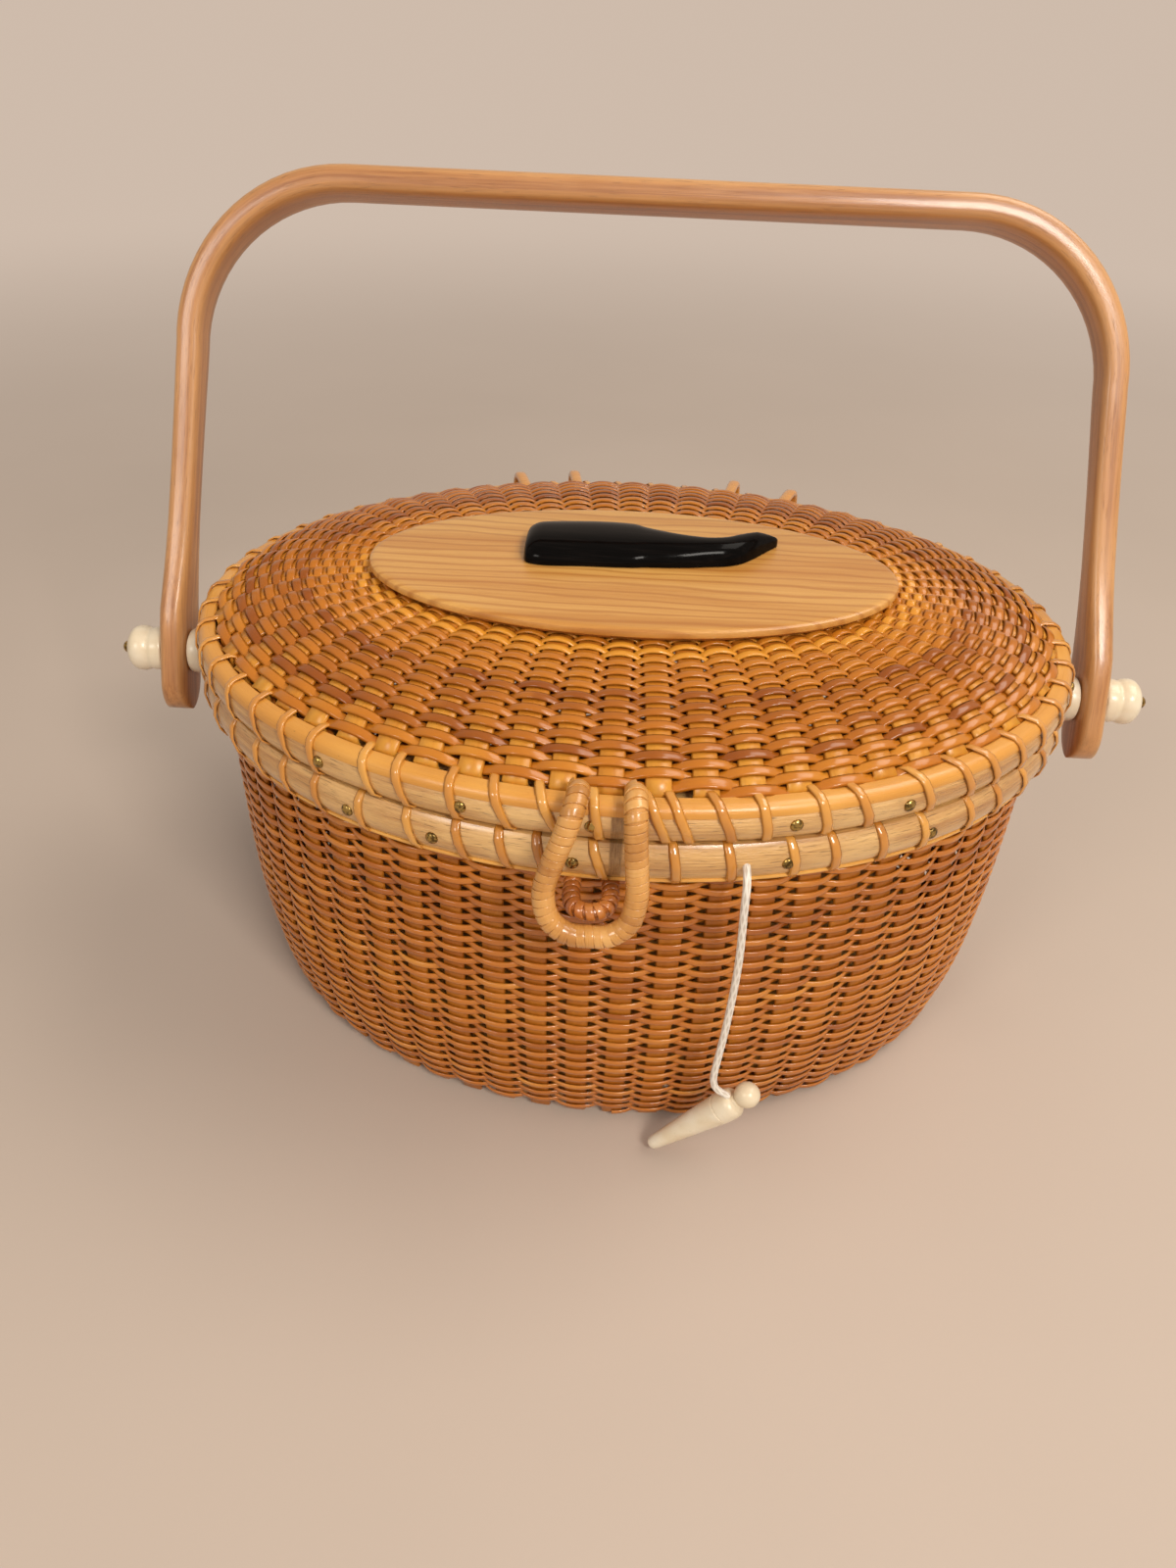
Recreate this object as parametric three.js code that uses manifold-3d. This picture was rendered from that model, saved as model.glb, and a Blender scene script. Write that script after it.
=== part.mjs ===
// Oval lidded basket with a swinging handle, a cane latch loop and a peg on a cord.
// Millimetres. +Z is up, +X runs along the length, and the hinge side is at +Y.
// The origin is the middle of the base board's underside.
import * as THREE from 'three';
import { mergeVertices } from 'three/addons/utils/BufferGeometryUtils.js';
import Module from 'manifold-3d';

const wasm = await Module();
wasm.setup();

// Shared fits.
const clearance = 0.3; // gap kept between neighbouring pieces
const cutOverrun = 4; // how far a cutting shape runs past what it cuts

// Outline of the rims, shared by the basket and the lid.
const rimHalfLength = 118; // outer face of the rim hoops, along X
const rimHalfWidth = 93.5; // outer face of the rim hoops, along Y
const seamHeight = 106; // middle of the joint between the two rims
const hoopHeight = 8.9;
const lidHoopHeight = 7.1; // the lid's outer hoop is the lower of the two
const outerHoopThickness = 4.6;
const innerHoopThickness = 3.4;
const hoopEdgeRounding = 1.2; // how far the hoop's corners stand back from its face
const hoopFlatHeight = 4.6; // height of an outer hoop's rounded front at its widest
const rimCapThickness = 1.3;
const rimCapWidth = 3.4;

// Woven walls.
const wallThickness = 3;
const footInset = 7.3; // how far the basket's wall draws in at its foot
const footCurvePower = 4.5; // keeps the draw-in to the lower part of the wall
const wallFootHeight = 1.2; // underside of the wall above the floor
const wallStaves = 59; // uprights that the basket's wall is woven on, as counted in the photograph
const wallStaveShare = 0.19; // where the first stands after the front middle, in staves
const wallReliefDepth = 1.2; // furrows between the uprights
const wallReliefSteps = [0, 0.08, 0.2, 0.42, 1]; // shares of the relief's height
const wallInnerSteps = [0.42, 0.12, 0];
const furrowShare = 0.5; // a furrow lies midway between two uprights
const baseBoardThickness = 9;
const baseBoardEdge = 1.6; // bevel round the board

// Lid.
const medallionHalfLength = 71.2;
const medallionHalfWidth = 37.8;
const medallionRise = 22.4; // its top above the middle of the joint between the rims
const medallionThickness = 3.6;
const medallionBevel = 1.4;
const medallionSeatOverlap = 4.8; // how far the plate covers the weave all round
const medallionBossDepth = 5;
const shoulderRise = 2.35; // the weave's shoulder above the lid's outer hoop
const shoulderSetback = 0.3; // and in from the outer face of its skirt
const domeCurvePower = 3;
const lidWeaveThickness = 2.8;
const lidStaves = 61;
const lidStaveShare = 0.675;
const lidReliefDepth = 1.2;
const lidSpreadShare = -1; // how far the staves spread apart at the front of the medallion
const domeSteps = [1, 0.85, 0.65, 0.4, 0];
const lidUnderSteps = [0, 0.55];
const shoulderHeight = 2.1; // height of the rounded shoulder
const innerHoopDrop = 1; // the lid's inner hoop below the top of its outer hoop

// Lashing: one strip of cane wound round each half of each rim.
const lashThickness = 0.8;
const lashWidth = 2.2;
const lashTurns = 17.5;
const lashEndGap = 19.3; // half the unlashed stretch at the front and back, along X
const lashOutset = 0.1; // extra room where the strip rounds the front of the hoop

// Handle and its pivots.
const pivotDrop = 1.55; // pins below the foot of the basket's hoops
const handleTaper = 5.2; // how much closer the handle's sides stand where its corners start
const handleRise = 129.8; // pivot to the top of the bow, along the handle
const handleCornerRadius = 43;
const paddleThickness = 7;
const paddleWidth = 17.5;
const paddleLength = 12; // straight part of the paddle above the pivot
const paddleEnd = 17; // paddle below the pivot
const legThickness = 7;
const legWidth = 9;
const bowThickness = 7.2;
const bowWidth = 14;
const handleLeanDegrees = 24; // leaning towards the hinge side, as photographed
const pinRadius = 1.2;
const pinInnerHeadRadius = 2.6;
const pinInnerHeadThickness = 1.2;
const pinTipRadius = 1.7;
const pinTipLength = 1.7;
const keeperRadius = 5;
const keeperThickness = 3.2;
const washerRadius = 6.4;
const washerThickness = 6.7;
const knobLength = 10.8;
const knobRadius = 6.5;

// Latch loop on the lid, and the staple that it goes over.
const latchCentre = -6.3; // along X
const loopStrandRadius = 2.5;
const loopTopHalfWidth = 6;
const loopTopShift = 2.2; // the loop's top sits a little to the right
const loopHalfWidth = 10.2;
const loopLength = 31.8;
const loopStandoff = 4.4; // loop's centre line in front of the hoop's face
const loopAxisInset = 2.8;
const loopSwingDegrees = 13; // hanging clear of the staple's tip
const stapleStrandRadius = 1.9;
const stapleHalfWidth = 4.3;
const stapleDrop = 2.85; // strand's centre line below the foot of the basket's hoops
const stapleReach = 7; // strand's centre line in front of the hoop's face
const stapleTail = 2; // strand inside the wall

// Hinge rings.
const hingeRingRadius = 1.6;
const hingeRingSlack = 1.2; // between a ring and the rims' lashings
const hingeRingPlaces = [-38.4, -21.1, 30.8, 48.6]; // along X

// Nails.
const nailRadius = 1.3;
const nailHeight = 0.7;
// Where they stand round the rims, in turns of the lashing on that side from its start.
const nailTurns = {
  basket_nail_right: [0.95, 2.98, 7.21, 11.21, 14.21, 17.21],
  basket_nail_left: [-0.45, 1.27, 2.5, 11.21, 14.21, 17.21],
  lid_nail_right: [0.97, 2.48, 7.21, 11.21, 14.21, 17.21],
  lid_nail_left: [-0.66, 0.89, 2.91, 11.21, 14.21, 17.21],
};

// Cord and peg.
const cordRadius = 0.9;
const cordKnotRadius = 2.2;
const pegLength = 37.6;
const pegRadius = 4;
const pegBallRadius = 3.35;
const pegNeckRadius = 1.9;
const pegTipRadius = 1.6;
const pegNeckPlace = 7.2; // from the ball's far side to the middle of the neck
const pegTip = [13, -91.4, 3.2];
const pegBall = [35.6, -93.6, 28];
const cordPlace = 27.3; // along X where the cord leaves the rim
// The cord's route from the rim to the peg, chosen by hand.
const cordRoute = [
  [27.3, -85, 100.3],
  [27.3, -92.3, 100.3],
  [27.3, -93.8, 100],
  [27.3, -95.1, 99.1],
  [27.3, -96, 97.8],
  [27.3, -96.3, 96.2],
  [27.4, -96.3, 92],
  [27.7, -96, 86],
  [28, -95.6, 79],
  [28.1, -95.2, 72],
  [28, -94.8, 65],
  [27.8, -94.5, 58],
  [27.5, -94.4, 51.5],
  [27.1, -94.4, 46],
  [26.7, -94.5, 41],
  [26.4, -94.6, 36.8],
  [26.5, -94.6, 33.6],
  [27.4, -94.4, 30.8],
];

// Whale carving, lying flat on the medallion.
const whaleLength = 69.4;
const whaleBodyWidth = 24.1;
const whaleThickness = 5.6;
const whaleRounding = 2.6; // how far its upper edges are eased
const whaleHeadPlace = -30.3; // along X
const whaleBellyPlace = -4.2; // along Y

const degree = Math.PI / 180;
const weldTolerance = clearance / 300;
const sides = 48; // steps round each oval
const group = new THREE.Group();

// Helpers.

// A closed mesh geometry: shared vertices merged, empty faces dropped, faces pointing out.
function closed(geometry) {
  const bare = geometry.index ? geometry.toNonIndexed() : geometry;
  const plain = new THREE.BufferGeometry();
  plain.setAttribute('position', new THREE.Float32BufferAttribute(bare.getAttribute('position').array, 3));
  const merged = mergeVertices(plain, weldTolerance);
  const place = merged.getAttribute('position');
  const index = merged.index.array;
  const kept = [];
  const a = new THREE.Vector3();
  const b = new THREE.Vector3();
  const c = new THREE.Vector3();
  let volume = 0;
  for (let i = 0; i < index.length; i += 3) {
    const [p, q, r] = [index[i], index[i + 1], index[i + 2]];
    if (p === q || q === r || r === p) continue;
    kept.push(p, q, r);
    a.fromBufferAttribute(place, p);
    b.fromBufferAttribute(place, q);
    volume += a.dot(b.cross(c.fromBufferAttribute(place, r)));
  }
  if (volume < 0) kept.reverse();
  merged.setIndex(kept);
  return merged;
}

function toManifold(geometry) {
  const solid = closed(geometry);
  const vertProperties = new Float32Array(solid.getAttribute('position').array);
  const triVerts = new Uint32Array(solid.index.array);
  return new wasm.Manifold(new wasm.Mesh({ numProp: 3, vertProperties, triVerts }));
}

function fromManifold(manifold) {
  const mesh = manifold.getMesh();
  const geometry = new THREE.BufferGeometry();
  const flat = new Float32Array(mesh.numVert * 3);
  for (let i = 0; i < mesh.numVert; i++) {
    for (let k = 0; k < 3; k++) flat[i * 3 + k] = mesh.vertProperties[i * mesh.numProp + k];
  }
  geometry.setAttribute('position', new THREE.BufferAttribute(flat, 3));
  geometry.setIndex(Array.from(mesh.triVerts));
  return geometry;
}

function cut(geometry, cutters) {
  let solid = toManifold(geometry);
  for (const cutter of cutters) solid = solid.subtract(toManifold(cutter));
  return fromManifold(solid);
}

function material(color, roughness, metalness) {
  return new THREE.MeshStandardMaterial({ color, roughness, metalness });
}

function add(name, geometry, finish, parent) {
  const mesh = new THREE.Mesh(closed(geometry), finish);
  mesh.name = name;
  (parent ?? group).add(mesh);
  return mesh;
}

// A solid swept round the oval. Each outline point is [half length, half width, height].
function ovalSolid(outline) {
  const points = outline.map(([halfLength, , height]) => new THREE.Vector2(halfLength, height));
  const geometry = new THREE.LatheGeometry(points, sides);
  geometry.rotateX(Math.PI / 2);
  const place = geometry.getAttribute('position');
  for (let i = 0; i < place.count; i++) {
    const [halfLength, halfWidth] = outline[i % outline.length];
    place.setY(i, halfLength > 0 ? (place.getY(i) * halfWidth) / halfLength : 0);
  }
  return geometry;
}

// A rim ring from a closed section of [inset from the hoop's face, height].
function rimRing(section) {
  const outline = section.map(([inset, height]) => [rimHalfLength - inset, rimHalfWidth - inset, height]);
  return ovalSolid([...outline, outline[0]]);
}

// Turns round an oval at an even spacing along it, from the front middle towards +X.
function evenTurns(halfLength, halfWidth, count, startShare) {
  const oval = new THREE.EllipseCurve(0, 0, halfLength, halfWidth, -Math.PI / 2, Math.PI * 1.5);
  return Array.from({ length: count }, (_, i) => {
    const point = oval.getPointAt(((i + startShare + count) % count) / count);
    return Math.atan2(point.y / halfWidth, point.x / halfLength);
  });
}

// A ring of points on an oval at the given turns.
function ovalRing(turns, [halfLength, halfWidth, height]) {
  return turns.map((turn) => {
    return new THREE.Vector3(halfLength * Math.cos(turn), halfWidth * Math.sin(turn), height);
  });
}

// A closed surface through rings that go round and come back to the first one. Neighbouring
// rings have as many points as each other, or one has twice as many and starts at the same turn.
function stitched(rings) {
  const flat = [];
  const face = (...corners) => corners.forEach((corner) => flat.push(corner.x, corner.y, corner.z));
  rings.forEach((here, i) => {
    const next = rings[(i + 1) % rings.length];
    const least = Math.min(here.length, next.length);
    const hereStep = here.length / least;
    const nextStep = next.length / least;
    for (let k = 0; k < least; k++) {
      const a = k * hereStep;
      const b = k * nextStep;
      const aEnd = (a + hereStep) % here.length;
      const bEnd = (b + nextStep) % next.length;
      if (hereStep > 1) face(here[a], here[a + 1], next[b]);
      if (nextStep > 1) face(here[a], next[b + 1], next[b]);
      const hereLast = here[a + hereStep - 1];
      const nextLast = next[b + nextStep - 1];
      face(hereLast, here[aEnd], next[bEnd]);
      face(hereLast, next[bEnd], nextLast);
    }
  });
  const geometry = new THREE.BufferGeometry();
  geometry.setAttribute('position', new THREE.Float32BufferAttribute(flat, 3));
  return geometry;
}

// The point at an inset and height on the oval, and its direction along the rim.
function rimPoint(angle, inset, height) {
  const x = (rimHalfLength - inset) * Math.cos(angle);
  return new THREE.Vector3(x, (rimHalfWidth - inset) * Math.sin(angle), height);
}

function rimTangent(angle) {
  return new THREE.Vector3(-rimHalfLength * Math.sin(angle), rimHalfWidth * Math.cos(angle), 0).normalize();
}

// The angle on the front (side -1) or back (side 1) of the rim above a place along X.
function rimAngle(place, side) {
  return side * Math.acos(place / rimHalfLength);
}

// A closed body through rings of the same number of points, with flat ends.
function loft(rings) {
  const count = rings[0].length;
  const flat = [];
  const face = (...corners) => corners.forEach((corner) => flat.push(corner.x, corner.y, corner.z));
  for (let i = 0; i + 1 < rings.length; i++) {
    for (let k = 0; k < count; k++) {
      const next = (k + 1) % count;
      face(rings[i][k], rings[i][next], rings[i + 1][next]);
      face(rings[i][k], rings[i + 1][next], rings[i + 1][k]);
    }
  }
  const last = rings[rings.length - 1];
  for (let k = 1; k + 1 < count; k++) {
    face(rings[0][0], rings[0][k + 1], rings[0][k]);
    face(last[0], last[k], last[k + 1]);
  }
  const geometry = new THREE.BufferGeometry();
  geometry.setAttribute('position', new THREE.Float32BufferAttribute(flat, 3));
  return geometry;
}

// A round tube along a curve.
function tube(curve, radius, steps, around) {
  const section = new THREE.Shape();
  for (let k = 0; k < around; k++) {
    const turn = (2 * Math.PI * k) / around;
    section[k ? 'lineTo' : 'moveTo'](radius * Math.cos(turn), radius * Math.sin(turn));
  }
  section.closePath();
  return new THREE.ExtrudeGeometry(section, { steps, bevelEnabled: false, extrudePath: curve });
}

// A turned piece along X from [distance, radius] points, starting and ending on the axis.
function turned(profile, around) {
  const points = profile.map(([distance, radius]) => new THREE.Vector2(radius, distance));
  const geometry = new THREE.LatheGeometry(points, around);
  geometry.rotateZ(-Math.PI / 2);
  return geometry;
}

// Heights and insets that follow from the values above.
const lashRoom = clearance + lashThickness; // from a face to the outside of the lashing on it
// How far a ring's flats stand inside its oval.
const facetSag = rimHalfLength * (1 - Math.cos(Math.PI / sides));
const basketRimTop = seamHeight - clearance / 2 - lashRoom;
const basketHoopFoot = basketRimTop - hoopHeight;
const lidRimFoot = seamHeight + clearance / 2 + lashRoom;
const lidHoopTop = lidRimFoot + lidHoopHeight;
const lidCapTop = lidHoopTop + clearance + rimCapThickness;
const wallOuterInset = outerHoopThickness + clearance;
const wallInnerInset = wallOuterInset + wallThickness;
const innerHoopInset = wallInnerInset + clearance;
const rimInnerInset = innerHoopInset + innerHoopThickness;
const insideLashInset = rimInnerInset + facetSag + clearance + lashThickness / 2;
const insideLashFace = insideLashInset + lashThickness / 2;
const basketWallTop = basketRimTop - rimCapThickness - clearance;
const wallHoopFoot = basketHoopFoot - lashRoom - clearance; // the wall has no furrows above here
const wallReliefTop = wallHoopFoot - wallReliefDepth / 2;
const lidInnerHoopTop = lidHoopTop - innerHoopDrop;
const domeShoulderHeight = lidHoopTop + shoulderRise;
const domeShoulderInset = wallOuterInset + shoulderSetback;
const lidSkirtHeight = domeShoulderHeight - shoulderHeight;
const medallionTopHeight = seamHeight + medallionRise;
const medallionFoot = medallionTopHeight - medallionThickness;
const lashMiddle = clearance + lashThickness / 2;
const frontLashInset = -(lashMiddle + lashOutset);
const frontLashFace = frontLashInset - lashThickness / 2;
const pivotHeight = basketHoopFoot - pivotDrop;
const washerInnerFace = rimHalfLength - frontLashFace + clearance;
const paddleInnerFace = washerInnerFace + washerThickness + clearance;
const handleHalfSpan = paddleInnerFace + paddleThickness; // outer faces of the paddles
const hoopMiddle = basketHoopFoot + hoopHeight / 2;
const stapleHeight = basketHoopFoot - stapleDrop;

// Materials.
const cane = material('#c07a3a', 0.42, 0);
const paleCane = material('#dcae6c', 0.4, 0);
const hoopWood = material('#b98550', 0.5, 0);
const boardWood = material('#d9a862', 0.38, 0);
const handleWood = material('#b97846', 0.42, 0);
const bone = material('#ece0c4', 0.35, 0);
const brass = material('#a98238', 0.35, 1);
const ebony = material('#0c0b0b', 0.18, 0);
const cordWhite = material('#e6dccb', 0.85, 0);

// Cutting shapes shared by several pieces.

// The staple's centre line: a U lying level, its legs passing through the wall.
const stapleFrontInset = -stapleReach;
const stapleBackInset = wallInnerInset + stapleTail;
function staplePoint(share, inset) {
  return new THREE.Vector3(latchCentre + stapleHalfWidth * share, -(rimHalfWidth - inset), stapleHeight);
}
const stapleCurve = new THREE.CurvePath();
const stapleBendShare = 0.5523; // handle length of a curve that stands in for a quarter circle
const stapleBend = stapleFrontInset + stapleHalfWidth * (1 - stapleBendShare);
const stapleBendStart = stapleFrontInset + stapleHalfWidth;
stapleCurve.add(new THREE.LineCurve3(staplePoint(-1, stapleBackInset), staplePoint(-1, stapleBendStart)));
stapleCurve.add(new THREE.CubicBezierCurve3(
  staplePoint(-1, stapleBendStart),
  staplePoint(-1, stapleBend),
  staplePoint(-stapleBendShare, stapleFrontInset),
  staplePoint(0, stapleFrontInset),
));
stapleCurve.add(new THREE.CubicBezierCurve3(
  staplePoint(0, stapleFrontInset),
  staplePoint(stapleBendShare, stapleFrontInset),
  staplePoint(1, stapleBend),
  staplePoint(1, stapleBendStart),
));
stapleCurve.add(new THREE.LineCurve3(staplePoint(1, stapleBendStart), staplePoint(1, stapleBackInset)));

// A bore along Y at the front, through the wall and both hoops.
const boreSides = 8;
function frontBore(x, z, radius) {
  const start = new THREE.Vector3(x, -rimHalfWidth - cutOverrun, z);
  const end = new THREE.Vector3(x, rimPoint(rimAngle(x, -1), rimInnerInset, z).y + cutOverrun, z);
  return tube(new THREE.LineCurve3(start, end), radius, 1, boreSides);
}

// Hinge rings: squarish loops that stand across both rims.
const hingeRingInset = (insideLashFace + frontLashFace) / 2;
const hingeRingHalfDepth = (insideLashFace - frontLashFace) / 2 + hingeRingRadius + hingeRingSlack;
const hingeRingHalfHeight = lidCapTop + lashRoom - seamHeight + hingeRingRadius + hingeRingSlack;
const ringAround = 16;
const ringSides = 6;
const ringPowerShare = 0.5;
function hingeRing(place, radius) {
  const angle = rimAngle(place, 1);
  const tangent = rimTangent(angle);
  const centre = (turn) => {
    const c = Math.cos(turn);
    const s = Math.sin(turn);
    const inset = hingeRingInset + hingeRingHalfDepth * Math.sign(c) * Math.abs(c) ** ringPowerShare;
    const height = seamHeight + hingeRingHalfHeight * Math.sign(s) * Math.abs(s) ** ringPowerShare;
    return rimPoint(angle, inset, height);
  };
  const flat = [];
  const ring = (i) => {
    const turn = (2 * Math.PI * i) / ringAround;
    const small = Math.PI / ringAround / 4;
    const along = centre(turn + small).sub(centre(turn - small)).normalize();
    const out = along.clone().cross(tangent).normalize();
    return Array.from({ length: ringSides }, (_, k) => {
      const around = (2 * Math.PI * k) / ringSides;
      const corner = centre(turn).addScaledVector(tangent, radius * Math.cos(around));
      return corner.addScaledVector(out, radius * Math.sin(around));
    });
  };
  for (let i = 0; i < ringAround; i++) {
    const here = ring(i);
    const next = ring((i + 1) % ringAround);
    for (let k = 0; k < ringSides; k++) {
      const m = (k + 1) % ringSides;
      const corners = [here[k], here[m], next[m], here[k], next[m], next[k]];
      corners.forEach((corner) => flat.push(corner.x, corner.y, corner.z));
    }
  }
  const geometry = new THREE.BufferGeometry();
  geometry.setAttribute('position', new THREE.Float32BufferAttribute(flat, 3));
  return geometry;
}
const ringCutters = hingeRingPlaces.map((place) => hingeRing(place, hingeRingRadius + clearance));

// A strip wound round a rim. The section points are its centre line's [inset, height],
// and the shares say how far along the turn each point lies.
const lashStart = rimAngle(lashEndGap, -1);
const lashSweep = -2 * lashStart;
function windingPoints(section, shares, mirrored) {
  const points = [];
  const count = section.length;
  const total = Math.round(lashTurns * count);
  for (let i = 0; i <= total; i++) {
    const turn = Math.floor(i / count) + shares[i % count];
    const angle = lashStart + (lashSweep * turn) / lashTurns;
    const before = section[(i + count - 1) % count];
    const here = section[i % count];
    const after = section[(i + 1) % count];
    const first = new THREE.Vector2(here[0] - before[0], here[1] - before[1]).normalize();
    const second = new THREE.Vector2(after[0] - here[0], after[1] - here[1]).normalize();
    const miter = new THREE.Vector2(first.y + second.y, -first.x - second.x);
    miter.multiplyScalar(1 / (1 + first.dot(second)));
    points.push({ angle: mirrored ? Math.PI - angle : angle, inset: here[0], height: here[1], miter });
  }
  return points;
}
function winding(points, width, thickness) {
  return loft(points.map(({ angle, inset, height, miter }) => {
    const tangent = rimTangent(angle).multiplyScalar(width / 2);
    const offset = miter.clone().multiplyScalar(thickness / 2);
    const near = rimPoint(angle, inset - offset.x, height - offset.y);
    const far = rimPoint(angle, inset + offset.x, height + offset.y);
    const edge = (point, sign) => point.clone().addScaledVector(tangent, sign);
    return [edge(near, 1), edge(far, 1), edge(far, -1), edge(near, -1)];
  }));
}
const basketWindingSection = [
  [insideLashInset, basketRimTop + lashMiddle],
  [insideLashInset, basketHoopFoot - lashMiddle],
  [hoopEdgeRounding - clearance, basketHoopFoot - lashMiddle],
  [frontLashInset, basketHoopFoot + hoopEdgeRounding],
  [frontLashInset, basketRimTop - hoopEdgeRounding],
  [hoopEdgeRounding - clearance, basketRimTop + lashMiddle],
];
const basketWindingShares = [0, 0.26, 0.58, 0.66, 0.76, 0.84];
const lidWindingSection = [
  [insideLashInset, lidInnerHoopTop + lashRoom],
  [insideLashInset, lidRimFoot - lashMiddle],
  [hoopEdgeRounding - clearance, lidRimFoot - lashMiddle],
  [frontLashInset, lidRimFoot + hoopEdgeRounding],
  [frontLashInset, lidHoopTop - hoopEdgeRounding],
  [hoopEdgeRounding - clearance, lidCapTop + lashMiddle],
  [hoopEdgeRounding + rimCapWidth, lidCapTop + lashMiddle],
];
const lidWindingShares = [0, 0.22, 0.54, 0.62, 0.72, 0.8, 0.87];
const windings = {
  basket_lashing_right: windingPoints(basketWindingSection, basketWindingShares, false),
  basket_lashing_left: windingPoints(basketWindingSection, basketWindingShares, true),
  lid_lashing_right: windingPoints(lidWindingSection, lidWindingShares, false),
  lid_lashing_left: windingPoints(lidWindingSection, lidWindingShares, true),
};
function leastWindingGap(points, count) {
  let least = Infinity;
  for (let i = 0; i < points.length; i++) {
    const here = rimPoint(points[i].angle, points[i].inset, points[i].height);
    for (let k = i + count - 1; k < Math.min(points.length, i + 2 * count); k++) {
      least = Math.min(least, here.distanceTo(rimPoint(points[k].angle, points[k].inset, points[k].height)));
    }
  }
  return least - Math.hypot(lashWidth, lashThickness);
}
for (const [name, points] of Object.entries(windings)) {
  const count = name.startsWith('lid') ? lidWindingSection.length : basketWindingSection.length;
  console.log(name, 'least gap between turns', leastWindingGap(points, count).toFixed(2), 'mm');
}
const slotWidth = lashWidth + 2 * clearance;
const slotThickness = lashThickness + 2 * clearance;
const slotCutter = (name) => winding(windings[name], slotWidth, slotThickness);

// Holes for the pivot pins, along X through both ends of the basket.
const pinBoreSides = 12;
const pinBore = turned([
  [-handleHalfSpan - cutOverrun, 0],
  [-handleHalfSpan - cutOverrun, pinRadius + clearance],
  [handleHalfSpan + cutOverrun, pinRadius + clearance],
  [handleHalfSpan + cutOverrun, 0],
], pinBoreSides);

// Basket.
function wallInset(height) {
  const share = (height - wallFootHeight) / (basketWallTop - wallFootHeight);
  return wallOuterInset + footInset * (1 - share) ** footCurvePower;
}
const wallHalfLength = rimHalfLength - wallOuterInset;
const wallHalfWidth = rimHalfWidth - wallOuterInset;
const wallTurns = evenTurns(wallHalfLength, wallHalfWidth, wallStaves, wallStaveShare);
const wallFurrows = evenTurns(wallHalfLength, wallHalfWidth, wallStaves, wallStaveShare + furrowShare);
const wallRing = (inset, height) => {
  return ovalRing(wallTurns, [rimHalfLength - inset, rimHalfWidth - inset, height]);
};
// A ribbed ring: full at each upright and drawn in between them.
const ribbedRing = (inset, height) => {
  const furrowInset = inset + wallReliefDepth;
  const furrows = ovalRing(wallFurrows, [rimHalfLength - furrowInset, rimHalfWidth - furrowInset, height]);
  return wallRing(inset, height).flatMap((rib, i) => [rib, furrows[i]]);
};
// Behind the hoops the wall is plain and a little thinner, so that their flats clear it.
const hoopZoneOuterInset = wallOuterInset + facetSag;
const hoopZoneInnerInset = wallInnerInset - facetSag;
function wallHeights(shares) {
  return shares.map((share) => wallFootHeight + (wallReliefTop - wallFootHeight) * share);
}
const wallRings = [
  ...wallHeights(wallReliefSteps).map((height) => ribbedRing(wallInset(height), height)),
  wallRing(hoopZoneOuterInset, wallHoopFoot),
  wallRing(hoopZoneOuterInset, basketWallTop),
  wallRing(hoopZoneInnerInset, basketWallTop),
  wallRing(hoopZoneInnerInset, wallHoopFoot),
  ...wallHeights(wallInnerSteps).map((height) => wallRing(wallInset(height) + wallThickness, height)),
];
const stapleBoreRadius = stapleStrandRadius + clearance;
const cordBore = frontBore(cordPlace, hoopMiddle, cordRadius + clearance);
const basketWall = cut(stitched(wallRings), [
  slotCutter('basket_lashing_right'),
  slotCutter('basket_lashing_left'),
  pinBore.clone().translate(0, 0, pivotHeight),
  frontBore(latchCentre - stapleHalfWidth, stapleHeight, stapleBoreRadius),
  frontBore(latchCentre + stapleHalfWidth, stapleHeight, stapleBoreRadius),
  cordBore,
  ...ringCutters,
]);
add('basket_wall', basketWall, cane);

const boardInset = wallInset(wallFootHeight) + wallThickness + clearance;
const boardHalfLength = rimHalfLength - boardInset;
const boardHalfWidth = rimHalfWidth - boardInset;
add('base_board', ovalSolid([
  [0, 0, 0],
  [boardHalfLength - baseBoardEdge, boardHalfWidth - baseBoardEdge, 0],
  [boardHalfLength, boardHalfWidth, baseBoardEdge],
  [boardHalfLength, boardHalfWidth, baseBoardThickness - baseBoardEdge],
  [boardHalfLength - baseBoardEdge, boardHalfWidth - baseBoardEdge, baseBoardThickness],
  [0, 0, baseBoardThickness],
]), boardWood);

// An outer hoop is half round: flat against the wall, full at the middle of its height.
function outerHoop(foot, height) {
  const middle = foot + height / 2;
  return rimRing([
    [outerHoopThickness, foot],
    [hoopEdgeRounding, foot],
    [0, middle - hoopFlatHeight / 2],
    [0, middle + hoopFlatHeight / 2],
    [hoopEdgeRounding, foot + height],
    [outerHoopThickness, foot + height],
  ]);
}
add('basket_hoop_outer', cut(outerHoop(basketHoopFoot, hoopHeight), [cordBore]), hoopWood);
add('basket_hoop_inner', cut(rimRing([
  [innerHoopInset, basketHoopFoot],
  [rimInnerInset, basketHoopFoot],
  [rimInnerInset, basketWallTop],
  [innerHoopInset, basketWallTop],
]), [cordBore]), hoopWood);
add('basket_rim_cap', rimRing([
  [wallOuterInset, basketRimTop - rimCapThickness],
  [rimInnerInset, basketRimTop - rimCapThickness],
  [rimInnerInset, basketRimTop],
  [wallOuterInset, basketRimTop],
]), paleCane);
add('basket_lashing_right', winding(windings.basket_lashing_right, lashWidth, lashThickness), paleCane);
add('basket_lashing_left', winding(windings.basket_lashing_left, lashWidth, lashThickness), paleCane);
const stapleSteps = 14;
const strandSides = 8;
add('latch_staple', tube(stapleCurve, stapleStrandRadius, stapleSteps, strandSides), cane);

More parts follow.
